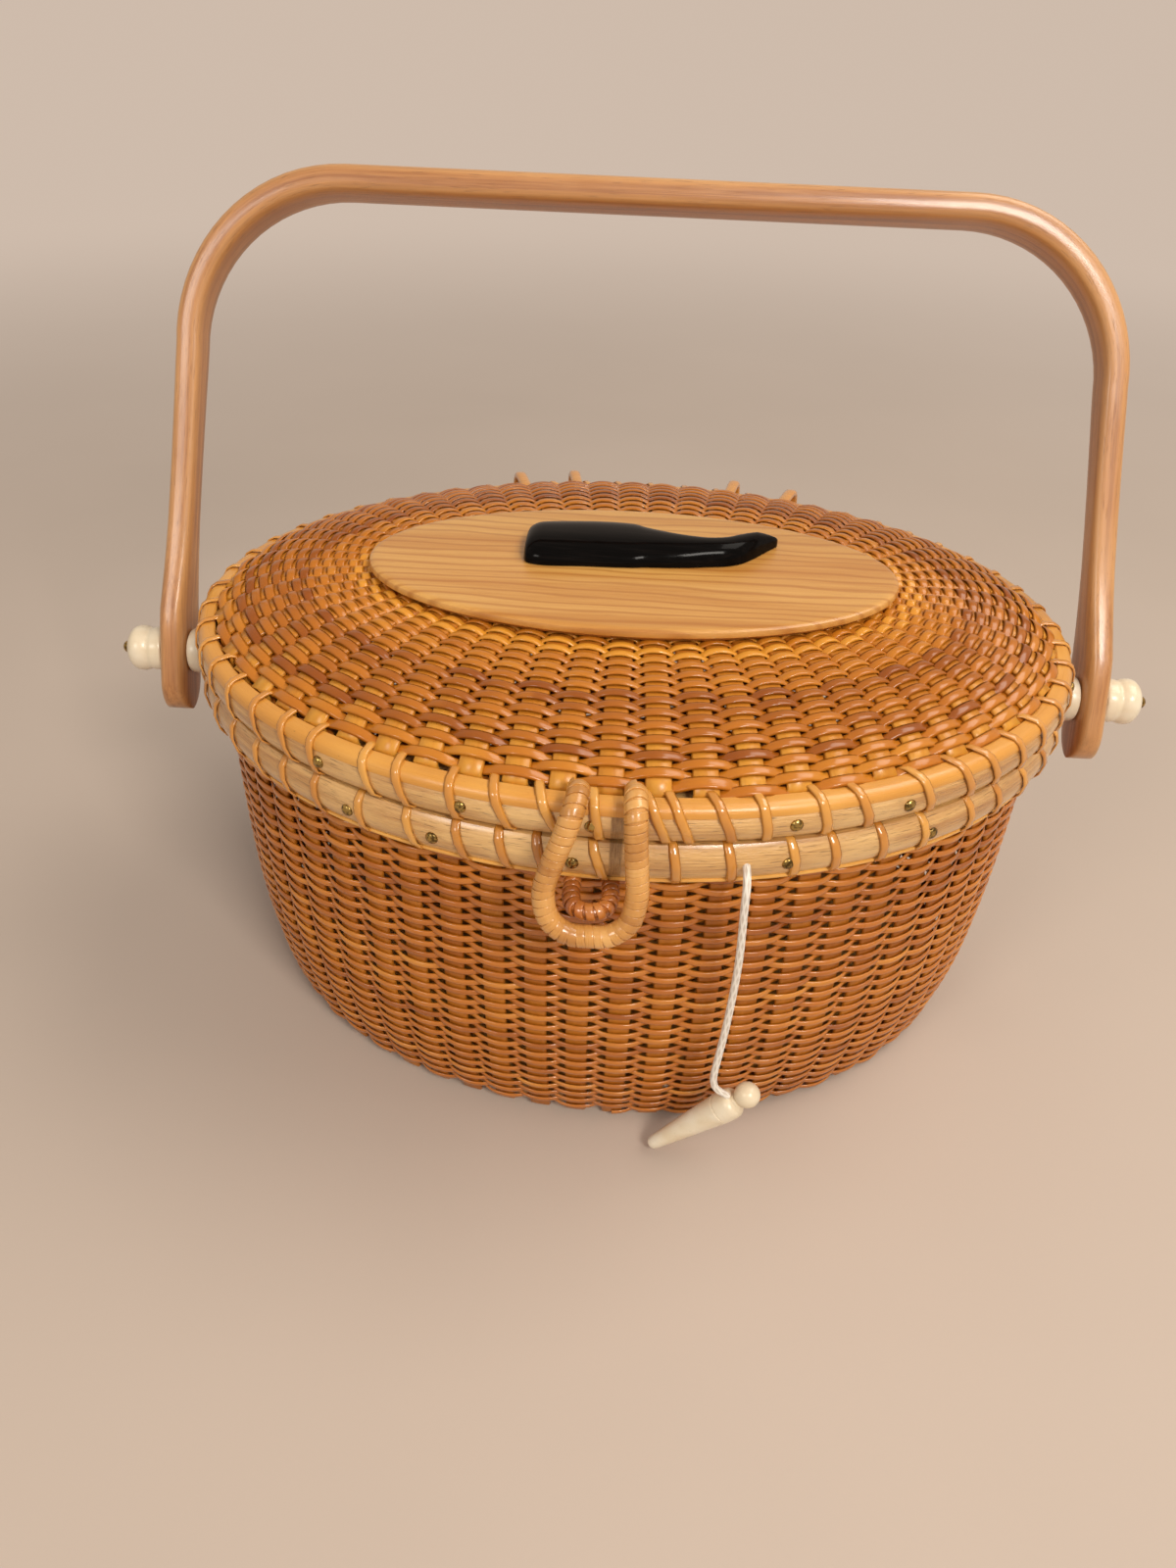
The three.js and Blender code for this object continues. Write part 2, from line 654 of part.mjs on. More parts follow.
// Lid.
const lid = new THREE.Group();
group.add(lid);
const weaveInnerHalfLength = medallionHalfLength - medallionSeatOverlap;
const weaveInnerHalfWidth = medallionHalfWidth - medallionSeatOverlap;
const domeTopHeight = medallionFoot - clearance;
const domePoint = (share) => [
  weaveInnerHalfLength + (rimHalfLength - domeShoulderInset - weaveInnerHalfLength) * share,
  weaveInnerHalfWidth + (rimHalfWidth - domeShoulderInset - weaveInnerHalfWidth) * share,
  domeShoulderHeight + (domeTopHeight - domeShoulderHeight) * (1 - share ** domeCurvePower),
];
// Where the lid's staves and the furrows between them lie: evenly along the rim, and closer
// together at the medallion's ends.
const lidTurnsAt = (share, startShare) => {
  const halfLength = rimHalfLength - domeShoulderInset;
  const halfWidth = rimHalfWidth - domeShoulderInset;
  const even = evenTurns(halfLength, halfWidth, lidStaves, startShare);
  const spread = lidSpreadShare + (1 - lidSpreadShare) * share;
  return even.map((turn, i) => {
    const plain = (2 * Math.PI * (i + startShare)) / lidStaves - Math.PI / 2;
    const apart = Math.atan2(Math.sin(turn - plain), Math.cos(turn - plain));
    return plain + apart * spread;
  });
};
const lidRing = (share, point) => ovalRing(lidTurnsAt(share, lidStaveShare), point);
const lidRibbedRing = (share) => {
  const point = domePoint(share);
  const [halfLength, halfWidth, height] = point;
  const furrowTurns = lidTurnsAt(share, lidStaveShare + furrowShare);
  const furrows = ovalRing(furrowTurns, [halfLength, halfWidth, height - lidReliefDepth]);
  return lidRing(share, point).flatMap((rib, i) => [rib, furrows[i]]);
};
const lidUnderRing = (share) => {
  const [halfLength, halfWidth, height] = domePoint(share);
  return lidRing(share, [halfLength, halfWidth, height - lidWeaveThickness]);
};
const skirtRing = (inset, height) => lidRing(1, [rimHalfLength - inset, rimHalfWidth - inset, height]);
const skirtInset = wallOuterInset + facetSag;
const lidRings = [
  skirtRing(skirtInset, lidRimFoot),
  skirtRing(skirtInset, lidSkirtHeight),
  ...domeSteps.map(lidRibbedRing),
  ...lidUnderSteps.map(lidUnderRing),
  skirtRing(wallOuterInset + lidWeaveThickness, lidSkirtHeight),
  skirtRing(wallOuterInset + lidWeaveThickness, lidRimFoot),
];
add('lid_wall', cut(stitched(lidRings), [
  slotCutter('lid_lashing_right'),
  slotCutter('lid_lashing_left'),
  ...ringCutters,
]), cane, lid);

const bossHalfLength = weaveInnerHalfLength - clearance;
const bossHalfWidth = weaveInnerHalfWidth - clearance;
add('lid_medallion', ovalSolid([
  [0, 0, medallionFoot - medallionBossDepth],
  [bossHalfLength, bossHalfWidth, medallionFoot - medallionBossDepth],
  [bossHalfLength, bossHalfWidth, medallionFoot],
  [medallionHalfLength, medallionHalfWidth, medallionFoot],
  [medallionHalfLength, medallionHalfWidth, medallionTopHeight - medallionBevel],
  [medallionHalfLength - medallionBevel, medallionHalfWidth - medallionBevel, medallionTopHeight],
  [0, 0, medallionTopHeight],
]), boardWood, lid);

add('lid_hoop_outer', outerHoop(lidRimFoot, lidHoopHeight), hoopWood, lid);
add('lid_hoop_inner', rimRing([
  [innerHoopInset, lidRimFoot],
  [rimInnerInset, lidRimFoot],
  [rimInnerInset, lidInnerHoopTop],
  [innerHoopInset, lidInnerHoopTop],
]), hoopWood, lid);
add('lid_rim_cap', rimRing([
  [hoopEdgeRounding, lidHoopTop + clearance],
  [hoopEdgeRounding + rimCapWidth, lidHoopTop + clearance],
  [hoopEdgeRounding + rimCapWidth, lidCapTop],
  [hoopEdgeRounding, lidCapTop],
]), paleCane, lid);
add('lid_lashing_right', winding(windings.lid_lashing_right, lashWidth, lashThickness), paleCane, lid);
add('lid_lashing_left', winding(windings.lid_lashing_left, lashWidth, lashThickness), paleCane, lid);

// The whale is a flat-backed carving. Each row holds shares: how far along its length,
// and where the belly and the back are across its body width.
const whaleShares = [
  [0, 0.13, 0.71], [0.02, 0.04, 0.85], [0.08, 0, 0.92], [0.24, 0.03, 0.99],
  [0.4, 0.05, 1], [0.47, 0.08, 0.87], [0.64, 0.13, 0.65], [0.71, 0.17, 0.6],
  [0.78, 0.21, 0.63], [0.84, 0.29, 0.74], [0.89, 0.43, 0.82], [0.94, 0.61, 0.86], [1, 0.83, 0.88],
];
const whaleFoot = medallionTopHeight + clearance;
const whaleSideShare = 0.45; // height of its upright edges
const whaleCrownShare = 0.9;
const whaleRings = whaleShares.map(([along, lower, upper]) => {
  const belly = whaleBellyPlace + whaleBodyWidth * lower;
  const back = whaleBellyPlace + whaleBodyWidth * upper;
  const ease = Math.min(whaleRounding, (back - belly) / 3);
  const x = whaleHeadPlace + whaleLength * along;
  const place = (y, share) => new THREE.Vector3(x, y, whaleFoot + whaleThickness * share);
  return [
    place(belly, 0),
    place(belly, whaleSideShare),
    place(belly + ease, whaleCrownShare),
    place((belly + back) / 2, 1),
    place(back - ease, whaleCrownShare),
    place(back, whaleSideShare),
    place(back, 0),
  ];
});
add('whale_carving', loft(whaleRings), ebony, lid);

// Handle: one bent strip, a paddle at each end.
const handle = new THREE.Group();
handle.position.set(0, 0, pivotHeight);
handle.rotation.x = -handleLeanDegrees * degree;
group.add(handle);
const spanAtPivot = handleHalfSpan - paddleThickness / 2;
const spanAtTop = handleHalfSpan - handleTaper - bowThickness / 2;
const riseAtTop = handleRise - bowThickness / 2;
const cornerStart = riseAtTop - handleCornerRadius;
const paddleRound = paddleWidth / 2;
const endShares = [0, 0.12, 0.4, 1];
const leastEndShare = 0.12; // the paddle's flat tip
const paddleTopShare = 0.93; // the paddle starts to narrow here
const rightSide = [];
for (const share of endShares) {
  const width = Math.max(Math.sqrt(1 - (1 - share) ** 2), leastEndShare) * paddleWidth;
  const up = -paddleEnd + paddleRound * share;
  rightSide.push({ across: spanAtPivot, up, width, thickness: paddleThickness });
}
rightSide.push({
  across: spanAtPivot,
  up: paddleLength,
  width: paddleWidth * paddleTopShare,
  thickness: paddleThickness,
});
const legShares = [0.14, 0.34, 0.6, 0.85];
const legWidthShares = [0.45, 0.06, 0, 0.12];
legShares.forEach((share, i) => {
  rightSide.push({
    across: spanAtPivot + (spanAtTop - spanAtPivot) * share,
    up: paddleLength + (cornerStart - paddleLength) * share,
    width: legWidth + (paddleWidth - legWidth) * legWidthShares[i],
    thickness: legThickness,
  });
});
const cornerSteps = 5;
const cornerWidenShare = 0.35; // the bow has already widened this much where its corners start
for (let i = 0; i <= cornerSteps; i++) {
  const share = i / cornerSteps;
  const turn = (share * Math.PI) / 2;
  rightSide.push({
    across: spanAtTop - handleCornerRadius * (1 - Math.cos(turn)),
    up: cornerStart + handleCornerRadius * Math.sin(turn),
    width: legWidth + (bowWidth - legWidth) * Math.min(1, cornerWidenShare + share),
    thickness: legThickness + (bowThickness - legThickness) * share,
  });
}
const leftSide = rightSide.map((station) => ({ ...station, across: -station.across })).reverse();
const stations = [...rightSide, ...leftSide];
// Section corners as shares of the half thickness and half width: a strip with eased edges.
const handleSectionShares = [
  [1, 0.5], [0.72, 0.9], [0, 1], [-0.72, 0.9], [-1, 0.5],
  [-1, -0.5], [-0.72, -0.9], [0, -1], [0.72, -0.9], [1, -0.5],
];
const handleRings = stations.map((station, i) => {
  const before = stations[Math.max(i - 1, 0)];
  const after = stations[Math.min(i + 1, stations.length - 1)];
  const along = new THREE.Vector2(after.across - before.across, after.up - before.up).normalize();
  return handleSectionShares.map(([outward, sideways]) => {
    const out = (outward * station.thickness) / 2;
    const side = (sideways * station.width) / 2;
    return new THREE.Vector3(station.across + along.y * out, side, station.up - along.x * out);
  });
});
add('handle', cut(loft(handleRings), [pinBore]), handleWood, handle);

// Pivots at both ends.
const keeperFace = rimHalfLength - insideLashFace - clearance;
const knobStart = handleHalfSpan + clearance;
const knobEnd = knobStart + knobLength;
const pivotSides = 10;
const pinSides = 8;
// A turned piece with a hole for the pin, from a profile of [distance, radius] points.
function boredDisc(start, profile) {
  const outside = profile.map(([distance, radius]) => [start + distance, radius]);
  const bore = pinRadius + clearance;
  const [first] = outside[0];
  const [last] = outside[outside.length - 1];
  return turned([[first, bore], ...outside, [last, bore], [first, bore]], pivotSides);
}
const knobShares = [
  [0, 0.9], [0.3, 0.93], [0.38, 0.88], [0.46, 0.9],
  [0.56, 0.98], [0.7, 1], [0.87, 0.82], [1, 0.42],
];
const discEase = keeperThickness / 5;
for (const [side, turn] of [['right', 0], ['left', Math.PI]]) {
  const pivot = new THREE.Group();
  pivot.position.set(0, 0, pivotHeight);
  pivot.rotation.z = turn;
  group.add(pivot);
  const innerEnd = keeperFace - keeperThickness - clearance;
  const tipStart = knobEnd + clearance;
  add(`pivot_pin_${side}`, turned([
    [innerEnd - pinInnerHeadThickness, 0],
    [innerEnd - pinInnerHeadThickness, pinInnerHeadRadius],
    [innerEnd, pinInnerHeadRadius],
    [innerEnd, pinRadius],
    [tipStart, pinRadius],
    [tipStart, pinTipRadius],
    [tipStart + pinTipLength / 2, pinTipRadius],
    [tipStart + pinTipLength, 0],
  ], pinSides), brass, pivot);
  add(`pivot_keeper_${side}`, boredDisc(keeperFace - keeperThickness, [
    [0, keeperRadius - discEase],
    [discEase, keeperRadius],
    [keeperThickness, keeperRadius],
  ]), bone, pivot);
  add(`pivot_washer_${side}`, boredDisc(washerInnerFace, [
    [0, washerRadius - discEase],
    [discEase, washerRadius],
    [washerThickness - discEase, washerRadius],
    [washerThickness, washerRadius - discEase],
  ]), bone, pivot);
  add(`pivot_knob_${side}`, boredDisc(knobStart, knobShares.map(([along, out]) => [
    knobLength * along,
    knobRadius * out,
  ])), bone, pivot);
}

// Latch loop, hinged on top of the lid's rim.
const loop = new THREE.Group();
const loopAxisHeight = lidCapTop + clearance + loopStrandRadius;
const loopAxisDepth = -(rimHalfWidth - loopAxisInset);
loop.position.set(latchCentre, loopAxisDepth, loopAxisHeight);
loop.rotation.x = -loopSwingDegrees * degree;
lid.add(loop);
// One side of the loop from its top to its rounded foot. The shares are how far it has widened
// towards its full half width, down its length, and out to its full standoff.
const loopOut = loopAxisInset + loopStandoff;
const loopUpperShares = [
  [0, 0, 0], [0.02, 0.015, 0.5], [0.12, 0.08, 0.86], [0.36, 0.24, 1], [0.74, 0.46, 1], [1, 0.68, 1],
];
const loopFootShares = [[0.86, 0.88], [0.46, 0.985]];
const loopStraightShare = 0.46; // down to here its top's shift fades away
function loopSide(sign) {
  const upper = loopUpperShares.map(([widen, down, out]) => {
    const half = loopTopHalfWidth + (loopHalfWidth - loopTopHalfWidth) * widen;
    const shift = loopTopShift * Math.max(0, 1 - down / loopStraightShare);
    return new THREE.Vector3(sign * half + shift, -loopOut * out, -loopLength * down);
  });
  const foot = loopFootShares.map(([across, down]) => {
    return new THREE.Vector3(sign * loopHalfWidth * across, -loopOut, -loopLength * down);
  });
  return [...upper, ...foot];
}
const loopPoints = [...loopSide(-1), new THREE.Vector3(0, -loopOut, -loopLength), ...loopSide(1).reverse()];
const loopCurve = new THREE.CatmullRomCurve3(loopPoints, false, 'centripetal');
const loopSteps = 26;
add('latch_loop', tube(loopCurve, loopStrandRadius, loopSteps, strandSides), paleCane, loop);

// Hinge rings.
hingeRingPlaces.forEach((place, i) => add(`hinge_ring_${i + 1}`, hingeRing(place, hingeRingRadius), cane));

// Nails: low brass heads on the hoops, clear of the lashings.
const lidHoopMiddle = lidRimFoot + lidHoopHeight / 2;
const nailSides = 6;
for (const [name, places] of Object.entries(nailTurns)) {
  const onLid = name.startsWith('lid');
  places.forEach((turn, i) => {
    const right = lashStart + (lashSweep * turn) / lashTurns;
    const angle = name.includes('left') ? Math.PI - right : right;
    const dome = [[0, 0], [0, nailRadius], [nailHeight, nailRadius / 2], [nailHeight, 0]];
    const head = turned(dome, nailSides);
    const outward = rimTangent(angle).cross(new THREE.Vector3(0, 0, 1));
    head.rotateZ(Math.atan2(outward.y, outward.x));
    const seat = rimPoint(angle, -clearance, onLid ? lidHoopMiddle : hoopMiddle);
    head.translate(seat.x, seat.y, seat.z);
    add(`${name}_${i + 1}`, head, brass, onLid ? lid : group);
  });
}

// Peg, cord and stop knot.
const pegStart = new THREE.Vector3(...pegBall);
const pegDirection = new THREE.Vector3(...pegTip).sub(pegStart).normalize();
const pegShares = [[0.08, 0.55], [0.28, 0.93], [0.5, 1], [0.72, 0.9], [0.92, 0.55]];
const pegProfile = [
  [0, 0],
  ...pegShares.map(([along, out]) => [2 * pegBallRadius * along, pegBallRadius * out]),
  [pegNeckPlace, pegNeckRadius],
  [pegNeckPlace + pegNeckRadius, pegRadius],
  [pegLength - pegTipRadius / 2, pegTipRadius],
  [pegLength, 0],
];
const pegSides = 12;
const peg = turned(pegProfile, pegSides);
peg.translate(-pegBallRadius, 0, 0);
peg.applyQuaternion(new THREE.Quaternion().setFromUnitVectors(new THREE.Vector3(1, 0, 0), pegDirection));
peg.translate(...pegBall);
add('latch_peg', peg, bone);

const rimAtCord = rimAngle(cordPlace, -1);
const knotInset = insideLashFace + cordKnotRadius;
const knotPlace = new THREE.Vector3(cordPlace, rimPoint(rimAtCord, knotInset, 0).y, hoopMiddle);
const knot = new THREE.IcosahedronGeometry(cordKnotRadius, 1);
add('cord_stop_knot', knot.translate(knotPlace.x, knotPlace.y, knotPlace.z), cordWhite);
const neckPlace = pegStart.clone().addScaledVector(pegDirection, pegNeckPlace - pegBallRadius);
const cordStart = knotPlace.clone().setY(knotPlace.y - cordKnotRadius - clearance);
const towardsCord = new THREE.Vector3(...cordRoute[cordRoute.length - 1]).sub(neckPlace);
towardsCord.addScaledVector(pegDirection, -towardsCord.dot(pegDirection));
const cordEnd = neckPlace.clone().add(towardsCord.setLength(pegNeckRadius + cordRadius + clearance));
const cordPoints = [cordStart, ...cordRoute.map((point) => new THREE.Vector3(...point)), cordEnd];
const cordCurve = new THREE.CatmullRomCurve3(cordPoints, false, 'centripetal');
console.log('cord length', cordCurve.getLength().toFixed(1), 'mm');
const cordSteps = 34;
add('peg_cord', tube(cordCurve, cordRadius, cordSteps, strandSides), cordWhite);

export default group;
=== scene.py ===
import math

import bmesh
import bpy
import numpy as np
from mathutils import Matrix, Vector


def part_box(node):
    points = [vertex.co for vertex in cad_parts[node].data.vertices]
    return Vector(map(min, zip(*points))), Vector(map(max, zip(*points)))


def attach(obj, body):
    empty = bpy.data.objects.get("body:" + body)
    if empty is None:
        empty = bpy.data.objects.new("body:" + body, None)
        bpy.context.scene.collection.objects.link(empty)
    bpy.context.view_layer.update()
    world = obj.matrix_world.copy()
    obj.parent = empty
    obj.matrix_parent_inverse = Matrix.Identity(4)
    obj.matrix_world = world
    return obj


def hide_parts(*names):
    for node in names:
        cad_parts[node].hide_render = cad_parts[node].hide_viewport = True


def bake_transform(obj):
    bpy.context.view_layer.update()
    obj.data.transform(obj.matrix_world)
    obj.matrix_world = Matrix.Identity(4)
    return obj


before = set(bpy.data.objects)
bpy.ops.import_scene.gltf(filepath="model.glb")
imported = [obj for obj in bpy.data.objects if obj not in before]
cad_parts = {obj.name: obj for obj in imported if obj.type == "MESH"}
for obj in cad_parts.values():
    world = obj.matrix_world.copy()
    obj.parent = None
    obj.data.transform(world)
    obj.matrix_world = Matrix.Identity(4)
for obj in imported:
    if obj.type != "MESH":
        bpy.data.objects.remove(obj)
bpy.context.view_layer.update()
scene = bpy.context.scene
scene.view_settings.view_transform = "Standard"

# Sizes are in millimetres here and become metres when a mesh is made.
MM = 0.001
RIM_HALF_LENGTH = 118.0
RIM_HALF_WIDTH = 93.5
WALL_STAVES = 59
LID_STAVES = 61
CORD_RADIUS = 0.9
# How far inside the rims' outer face the middle of the weave stands.
WEAVE_INSET = 6.4

# Camera.

CAMERA_PLACE = Vector((-2.631, -282.855, 258.359)) * MM
CAMERA_YAW = -0.028
CAMERA_PITCH = 0.624
CAMERA_ROLL = 0.041
CAMERA_LENS = 26.03
SENSOR_LONG_SIDE = 36.0


def add_camera():
    ahead = Vector((
        math.sin(CAMERA_YAW) * math.cos(CAMERA_PITCH),
        math.cos(CAMERA_YAW) * math.cos(CAMERA_PITCH),
        -math.sin(CAMERA_PITCH),
    ))
    level_right = Vector((math.cos(CAMERA_YAW), -math.sin(CAMERA_YAW), 0.0))
    level_up = level_right.cross(ahead)
    right = level_right * math.cos(CAMERA_ROLL) + level_up * math.sin(CAMERA_ROLL)
    up = level_up * math.cos(CAMERA_ROLL) - level_right * math.sin(CAMERA_ROLL)
    data = bpy.data.cameras.new("camera")
    data.lens = CAMERA_LENS
    data.sensor_width = SENSOR_LONG_SIDE
    camera = bpy.data.objects.new("camera", data)
    turn = Matrix((right, up, -ahead)).transposed().to_4x4()
    camera.matrix_world = Matrix.Translation(CAMERA_PLACE) @ turn
    scene.collection.objects.link(camera)
    scene.camera = camera


add_camera()

# Shader arithmetic.


class Wire:
    """A socket of a node tree. Arithmetic on it adds Math nodes to the tree."""

    def __init__(self, tree, socket=None):
        self.tree = tree
        self.socket = socket

    def node(self, kind, settings=None, sockets=None, out=0):
        """Adds a node: its settings first, then the values or wires of its sockets."""
        made = self.tree.nodes.new(kind)
        for name, value in (settings or {}).items():
            setattr(made, name, value)
        for name, value in (sockets or {}).items():
            if isinstance(value, Wire):
                self.tree.links.new(value.socket, made.inputs[name])
            else:
                made.inputs[name].default_value = value
        return Wire(self.tree, made.outputs[out])

    def maths(self, operation, *terms):
        return self.node("ShaderNodeMath", {"operation": operation}, dict(enumerate(terms)))

    def vector_maths(self, operation, *terms, out=0):
        sockets = dict(enumerate(terms))
        return self.node("ShaderNodeVectorMath", {"operation": operation}, sockets, out)

    def part(self, axis):
        """One number of a vector: 0 for X, 1 for Y and 2 for Z."""
        return self.node("ShaderNodeSeparateXYZ", None, {0: self}, axis)

    def ends_in(self, kind, name):
        """Leads the wire into a new output node."""
        self.tree.links.new(self.socket, self.tree.nodes.new(kind).inputs[name])

    def __add__(self, other):
        return self.maths("ADD", self, other)

    def __sub__(self, other):
        return self.maths("SUBTRACT", self, other)

    def __rsub__(self, other):
        return self.maths("SUBTRACT", other, self)

    def __mul__(self, other):
        return self.maths("MULTIPLY", self, other)

    def __truediv__(self, other):
        return self.maths("DIVIDE", self, other)


def empty_tree(owner):
    """Clears the nodes of a material or a world, ready for new ones."""
    owner.use_nodes = True
    owner.node_tree.nodes.clear()
    return Wire(owner.node_tree)


def mixed(share, first, second):
    """Blends two colours by a wire."""
    settings = {"data_type": "RGBA", "clamp_factor": True}
    pad = [v if isinstance(v, Wire) else (*v, 1.0) for v in (first, second)]
    return share.node("ShaderNodeMix", settings, {0: share, 6: pad[0], 7: pad[1]}, 2)


def ramped(wire, low, high):
    """Goes smoothly from 0 at low to 1 at high."""
    settings = {"interpolation_type": "SMOOTHSTEP"}
    sockets = {"Value": wire, "From Min": low, "From Max": high}
    return wire.node("ShaderNodeMapRange", settings, sockets)


def noise(vector, detail, roughness, stretch):
    """Noise on a vector in millimetres; stretch gives the size of one grain along each axis."""
    scaled = vector.vector_maths("DIVIDE", vector, stretch)
    sockets = {"Vector": scaled, "Scale": 1.0, "Detail": detail, "Roughness": roughness}
    return vector.node("ShaderNodeTexNoise", None, sockets)


def stored(wire, name, out=2):
    """What a mesh's points hold: a number, or a vector where out is 1."""
    return wire.node("ShaderNodeAttribute", {"attribute_name": name}, None, out)


def strand_wires(wire):
    """Millimetres along a strand and over its section, its own shade, and both ways in one vector."""
    along, section, shade = stored(wire, "along"), stored(wire, "section", 1), stored(wire, "shade")
    along_vector = wire.node("ShaderNodeCombineXYZ", None, {0: along})
    grain = wire.vector_maths("ADD", section, along_vector)
    return along, section, shade, grain


def place_in_mm(wire):
    place = wire.node("ShaderNodeTexCoord", None, None, 3)
    return wire.vector_maths("MULTIPLY", place, (1000.0, 1000.0, 1000.0))


def new_finish(name, build, **fixed):
    """A material: build(wire) gives what varies over it, fixed what is the same all over."""
    material = bpy.data.materials.new(name)
    wire = empty_tree(material)
    varied = build(wire)
    height = varied.pop("height", None)
    depth = varied.pop("depth", 0.1)
    sockets = {}
    for socket, value in fixed.items():
        sockets[socket.replace("_", " ").title().replace("Ior", "IOR")] = value
    sockets.update(varied)
    if height is not None:
        bump = {"Height": height, "Strength": 1.0, "Distance": depth * MM}
        sockets["Normal"] = wire.node("ShaderNodeBump", None, bump)
    shader = wire.node("ShaderNodeBsdfPrincipled", None, sockets)
    shader.ends_in("ShaderNodeOutputMaterial", "Surface")
    return material


# Finishes.


def cane(light, middle, dark, gloss, edge):
    """Split cane: its fibres run along the strand, and painted shade darkens its edges by the share edge.
    """

    def build(wire):
        _, section, shade, grain = strand_wires(wire)
        patches = noise(grain, 2.0, 0.5, (26.0, 9.0, 9.0))
        fibres = noise(grain, 3.0, 0.6, (14.0, 0.16, 0.16))
        tone = patches * 0.7 + shade * 0.75 + fibres * 0.25 - 0.35
        colour = mixed(ramped(tone, 0.15, 0.55), dark, middle)
        colour = mixed(ramped(tone, 0.5, 0.95), colour, light)
        across = section.part(1)
        out = across.maths("ABSOLUTE", across) / stored(wire, "half_width")
        # Painted shade: each strand goes darker towards its edges, where it meets its neighbours.
        painted_edge_shade = ramped(out + fibres * 0.25, 0.85, 1.25) * edge
        colour = mixed(painted_edge_shade, colour, tuple(c * 0.32 for c in dark))
        specks = ramped(noise(grain, 2.0, 0.6, (1.6, 0.7, 0.7)), 0.70, 0.78) * 0.35
        colour = mixed(specks, colour, tuple(c * 0.4 for c in dark))
        rough = fibres * 0.22 + patches * 0.12 + (gloss - 0.16)
        return {"Base Color": colour, "Roughness": rough, "height": fibres, "depth": 0.05}

    return build


def hoop_finish(wire):
    """Bent ash hoops: long open grain, browner in streaks, with a worn satin varnish."""
    *_, grain = strand_wires(wire)
    broad = noise(grain, 3.0, 0.55, (70.0, 2.4, 2.4))
    fine = noise(grain, 4.0, 0.65, (16.0, 0.28, 0.28))
    pores = ramped(noise(grain, 2.0, 0.5, (5.0, 0.2, 0.2)), 0.60, 0.74)
    stain = noise(grain, 2.0, 0.5, (34.0, 12.0, 12.0))
    tone = broad * 0.6 + fine * 0.4
    colour = mixed(ramped(tone, 0.32, 0.66), (0.42, 0.185, 0.046), (0.72, 0.42, 0.145))
    colour = mixed(ramped(stain, 0.5, 0.7) * 0.6, colour, (0.78, 0.50, 0.20))
    colour = mixed(pores * 0.6, colour, (0.11, 0.04, 0.011))
    rough = fine * 0.25 + 0.2
    lumps = noise(grain, 4.0, 0.7, (3.2, 0.9, 0.9))
    height = lumps * 1.6 + fine * 0.5 - pores * 0.5
    return {"Base Color": colour, "Roughness": rough, "height": height, "depth": 0.2}


def board_finish(wire):
    """Golden board: curved brown growth lines along its length under a warm varnish."""
    place = place_in_mm(wire)
    wander = noise(place, 2.0, 0.5, (60.0, 17.0, 40.0))
    phase = place.part(1) * 1.55 + wander * 17.0
    rings = phase.maths("SINE", phase) * 0.5 + 0.5
    broad = noise(place, 2.0, 0.5, (120.0, 7.0, 20.0))
    fine = noise(place, 4.0, 0.65, (18.0, 0.34, 0.34))
    pores = ramped(noise(place, 2.0, 0.5, (4.0, 0.25, 0.25)), 0.62, 0.74)
    tone = broad * 0.9 + fine * 0.35 - 0.12
    colour = mixed(ramped(tone, 0.3, 0.72), (0.51, 0.215, 0.040), (0.68, 0.36, 0.095))
    colour = mixed(ramped(rings + fine * 0.5, 0.85, 1.35) * 0.62, colour, (0.37, 0.125, 0.016))
    colour = mixed(pores * 0.3, colour, (0.30, 0.12, 0.025))
    rough = fine * 0.2 + 0.22
    return {"Base Color": colour, "Roughness": rough, "height": fine, "depth": 0.04}


def handle_finish(wire):
    """The handle's reddish tan wood, with a painted highlight that makes its edges paler."""
    _, _, shade, grain = strand_wires(wire)
    streaks = noise(grain, 3.0, 0.55, (90.0, 1.5, 1.5))
    fine = noise(grain, 4.0, 0.65, (20.0, 0.3, 0.3))
    pores = ramped(noise(grain, 2.0, 0.5, (6.0, 0.24, 0.24)), 0.60, 0.74)
    patches = noise(grain, 2.0, 0.5, (40.0, 14.0, 14.0))
    tone = streaks * 0.6 + fine * 0.25 + patches * 0.15
    colour = mixed(ramped(tone, 0.33, 0.62), (0.30, 0.108, 0.030), (0.52, 0.235, 0.078))
    colour = mixed(ramped(patches, 0.52, 0.72) * 0.4, colour, (0.60, 0.31, 0.12))
    # Painted highlight: the shade attribute lightens the section's rounded corners.
    colour = mixed(shade * 0.55, colour, (0.68, 0.40, 0.175))
    colour = mixed(pores * 0.45, colour, (0.14, 0.05, 0.02))
    rough = fine * 0.2 + 0.26
    return {"Base Color": colour, "Roughness": rough, "height": fine - pores * 0.5, "depth": 0.06}


def ebony_finish(wire):
    """Polished black wood: faint brown streaks and fine scratches under a hard shine."""
    place = place_in_mm(wire)
    streaks = noise(place, 4.0, 0.6, (22.0, 1.1, 1.1))
    fine = noise(place, 3.0, 0.6, (3.0, 0.4, 0.4))
    colour = mixed(ramped(streaks, 0.45, 0.75), (0.0018, 0.0016, 0.0016), (0.006, 0.0045, 0.004))
    return {"Base Color": colour, "Roughness": fine * 0.16 + 0.08, "height": fine, "depth": 0.015}


def bone_finish(wire):
    """Cream bone: fine darker canals along X, honey stains and a soft polish."""
    place = place_in_mm(wire)
    cloud = noise(place, 2.0, 0.5, (14.0, 6.0, 6.0))
    lines = noise(place, 3.0, 0.65, (6.0, 0.4, 0.4))
    colour = mixed(ramped(cloud, 0.3, 0.75), (0.74, 0.61, 0.42), (0.84, 0.75, 0.59))
    colour = mixed(ramped(lines, 0.6, 0.8) * 0.22, colour, (0.55, 0.38, 0.20))
    return {"Base Color": colour, "Roughness": lines * 0.2 + 0.2, "height": lines, "depth": 0.02}


